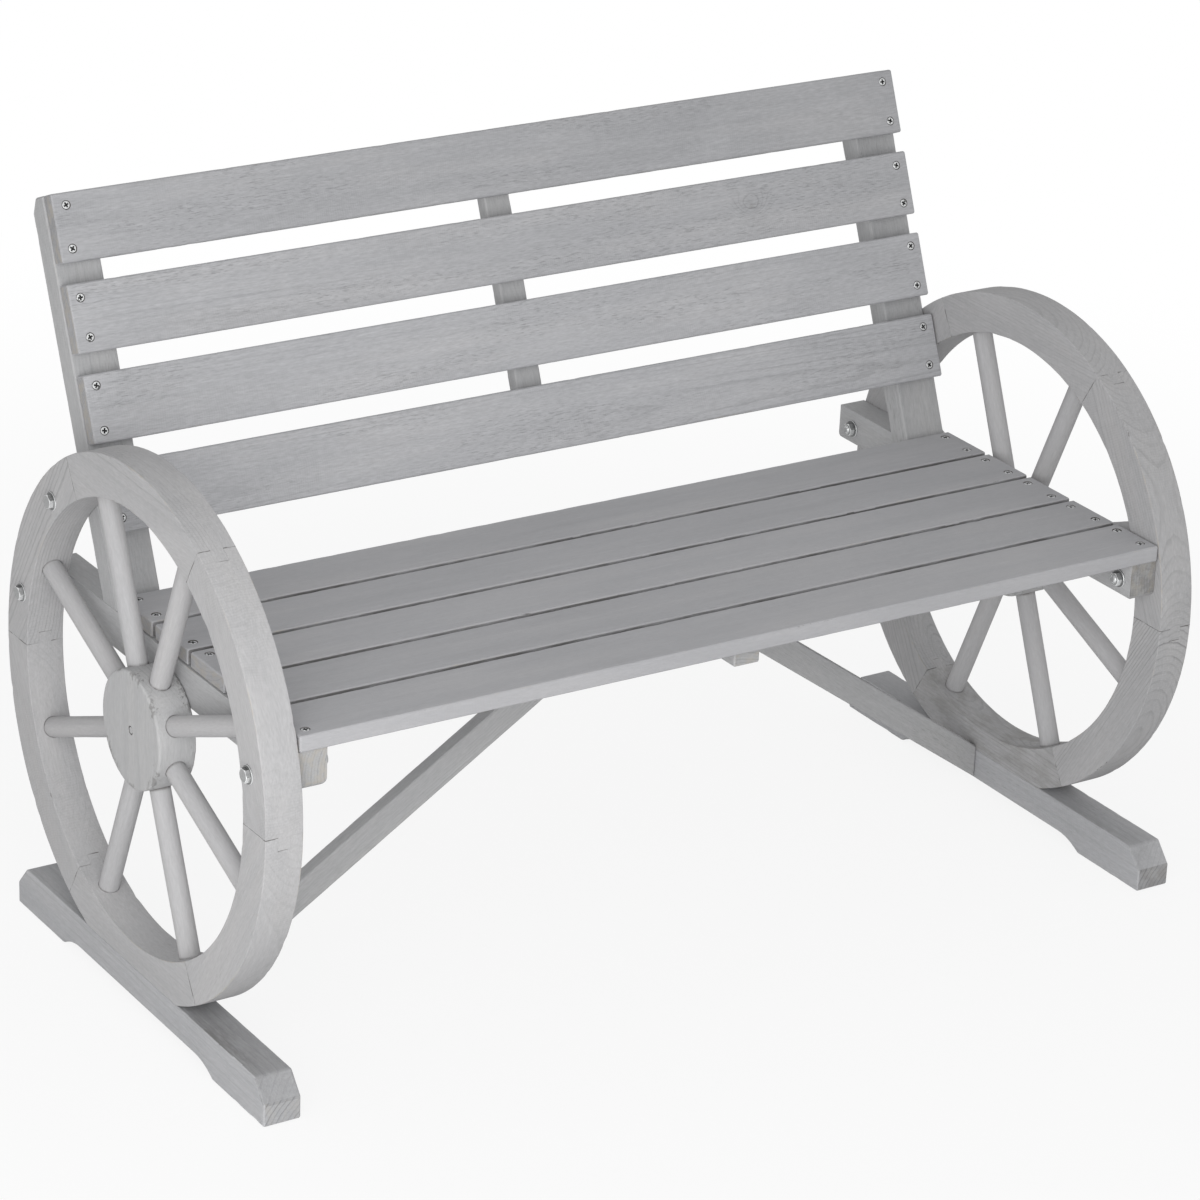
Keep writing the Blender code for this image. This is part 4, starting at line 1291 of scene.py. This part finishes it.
class BENCH_OT_skids(bpy.types.Operator):
    """Make the two skids that the wheels stand on"""

    bl_idname = "bench.skids"
    bl_label = "Skids"

    def execute(self, context):
        wash = context.scene.bench_wash.skids
        # The top tones are painted shade on the skids' upper sides.
        looks = {
            "skid_left": {"top": TopShadeAndMarks(0.84, -0.17, 0.60), "heart": (0.055, -0.055), "tone": 1.04},
            "skid_right": {"top": TopShadeAndMarks(0.95, -0.20, 0.34), "heart": (0.050, -0.060), "tone": 1.09,
                           "end_seam": 0.30},
        }
        for node, look in looks.items():
            add_board(node, axes(REAR, UP), "skid", wash, SEEDS[node], **look)
        return {"FINISHED"}


class BENCH_OT_felloes(bpy.types.Operator):
    """Make the finger-jointed felloes of both rims"""

    bl_idname = "bench.felloes"
    bl_label = "Felloes"

    def execute(self, context):
        for i, label in enumerate(SIDES):
            for k in range(FELLOE_COUNT):
                add_felloe(label, k, context.scene.bench_wash.rims, SEEDS["felloes"] + WHEEL_SEEDS * i + k)
        return {"FINISHED"}


class BENCH_OT_spokes(bpy.types.Operator):
    """Make the spokes of both wheels"""

    bl_idname = "bench.spokes"
    bl_label = "Spokes"

    def execute(self, context):
        for i, label in enumerate(SIDES):
            for k in range(SPOKE_COUNT):
                add_spoke(label, k, context.scene.bench_wash.spokes, SEEDS["spokes"] + WHEEL_SEEDS * i + k)
        return {"FINISHED"}


class BENCH_OT_hubs(bpy.types.Operator):
    """Make the two hubs with their plugged centre holes"""

    bl_idname = "bench.hubs"
    bl_label = "Hubs"

    def execute(self, context):
        for i, label in enumerate(SIDES):
            add_hub(label, context.scene.bench_wash.hubs, SEEDS["hubs"] + i)
        return {"FINISHED"}


class BENCH_OT_hardware(bpy.types.Operator):
    """Make the hexagon bolts, nuts and washers"""

    bl_idname = "bench.hardware"
    bl_label = "Bolts and nuts"

    def execute(self, context):
        for i, label in enumerate(SIDES):
            for j, bolt in enumerate(BOLT_NAMES):
                add_bolt(label, bolt, SEEDS["bolts"] + WHEEL_SEEDS * i + j)
                if bolt != "post":
                    add_nut(label, bolt, SEEDS["nuts"] + WHEEL_SEEDS * i + j)
        return {"FINISHED"}


class BENCH_OT_stage(bpy.types.Operator):
    """Make the floor, the light and the camera"""

    bl_idname = "bench.stage"
    bl_label = "Stage"

    def execute(self, context):
        stage = context.scene.bench_stage
        self.make_floor(stage)
        self.make_sky(context.scene, stage)
        self.make_light(context.scene, stage)
        self.make_camera(context.scene, stage)
        context.scene.view_settings.view_transform = "Standard"
        return {"FINISHED"}

    def make_floor(self, stage):
        half_size, drop = 14.0, 0.0005
        fade_start, fade_end, least_white = 0.6, 2.2, 0.87
        solid = bmesh.new()
        bmesh.ops.create_grid(solid, x_segments=4, y_segments=4, size=half_size)
        material, sketch = new_material("pale_floor")
        matte = sketch.node("BsdfDiffuse", Color=(*stage.floor, 1))[0]
        white = sketch.node("Emission")[0]
        far = sketch.vector("LENGTH", sketch.node("NewGeometry")["Position"])
        share = sketch.scaled(sketch.step(far, fade_start, fade_end), 1 - least_white, least_white)
        share = sketch.times(share, sketch.node("LightPath")["Is Camera Ray"])
        sketch.node("OutputMaterial", Surface=sketch.node("MixShader", share, matte, white)[0])
        floor = new_piece("floor", solid, Matrix.Translation((0, 0, -drop)), material)

    def make_sky(self, scene, stage):
        world = bpy.data.worlds.new("studio")
        world.use_nodes = True
        world.node_tree.nodes.clear()
        sketch = Sketch(world.node_tree)
        even = sketch.node("Background", Color=(1, 1, 1, 1), Strength=stage.sky)[0]
        white = sketch.node("Background", Color=(1, 1, 1, 1), Strength=1.0)[0]
        seen = sketch.node("LightPath")["Is Camera Ray"]
        sketch.node("OutputWorld", Surface=sketch.node("MixShader", seen, even, white)[0])
        scene.world = world

    def make_light(self, scene, stage):
        place, target = Vector((-1.6, -1.8, 0.9)), Vector((-0.2, 0.0, 0.35))
        lamp = bpy.data.lights.new("key_light", "AREA")
        lamp.shape = "DISK"
        lamp.size = 2.4
        lamp.energy = stage.key_power
        light = bpy.data.objects.new("key_light", lamp)
        scene.collection.objects.link(light)
        light.location = place
        light.rotation_euler = (target - place).to_track_quat("-Z", "Y").to_euler()

    def make_camera(self, scene, stage):
        flat = math.cos(stage.camera_height)
        back = Vector((math.sin(stage.camera_turn) * flat, -math.cos(stage.camera_turn) * flat,
                       math.sin(stage.camera_height)))
        right = (-back).cross(UP).normalized()
        up = right.cross(-back)
        c, s = math.cos(stage.camera_roll), math.sin(stage.camera_roll)
        turn = Matrix((c * right + s * up, c * up - s * right, back)).transposed()
        lens = bpy.data.cameras.new("camera")
        lens.lens = stage.lens
        lens.sensor_width = 36.0
        lens.clip_end = 100.0
        camera = bpy.data.objects.new("camera", lens)
        scene.collection.objects.link(camera)
        camera.matrix_world = Matrix.Translation(stage.camera_place) @ turn.to_4x4()
        scene.camera = camera


OPERATORS = (BENCH_OT_seat_slats, BENCH_OT_back_slats, BENCH_OT_frame, BENCH_OT_skids, BENCH_OT_felloes,
             BENCH_OT_spokes, BENCH_OT_hubs, BENCH_OT_hardware, BENCH_OT_stage)
SETTINGS = {"bench_wash": BenchWash, "bench_edges": BenchEdges, "bench_hardware": BenchHardware,
            "bench_stage": BenchStage}


class BENCH_PT_looks(bpy.types.Panel):
    """Lists the bench's pieces and their settings"""

    bl_idname = "BENCH_PT_looks"
    bl_label = "Wagon wheel bench"
    bl_space_type = "VIEW_3D"
    bl_region_type = "UI"
    bl_category = "Bench"

    def draw(self, context):
        for operator in OPERATORS:
            self.layout.operator(operator.bl_idname)
        for name, settings in SETTINGS.items():
            box = self.layout.box()
            for label in settings.__annotations__:
                box.prop(getattr(context.scene, name), label)


def register():
    for settings in SETTINGS.values():
        bpy.utils.register_class(settings)
    for operator in OPERATORS:
        bpy.utils.register_class(operator)
    bpy.utils.register_class(BENCH_PT_looks)
    for name, settings in SETTINGS.items():
        setattr(bpy.types.Scene, name, bpy.props.PointerProperty(type=settings))


def unregister():
    for name in SETTINGS:
        delattr(bpy.types.Scene, name)
    for item in (BENCH_PT_looks, *OPERATORS, *SETTINGS.values()):
        bpy.utils.unregister_class(item)


def main():
    register()
    bpy.ops.bench.seat_slats()
    bpy.ops.bench.back_slats()
    bpy.ops.bench.frame()
    bpy.ops.bench.skids()
    bpy.ops.bench.felloes()
    bpy.ops.bench.spokes()
    bpy.ops.bench.hubs()
    bpy.ops.bench.hardware()
    bpy.ops.bench.stage()


if __name__ == "__main__":
    main()
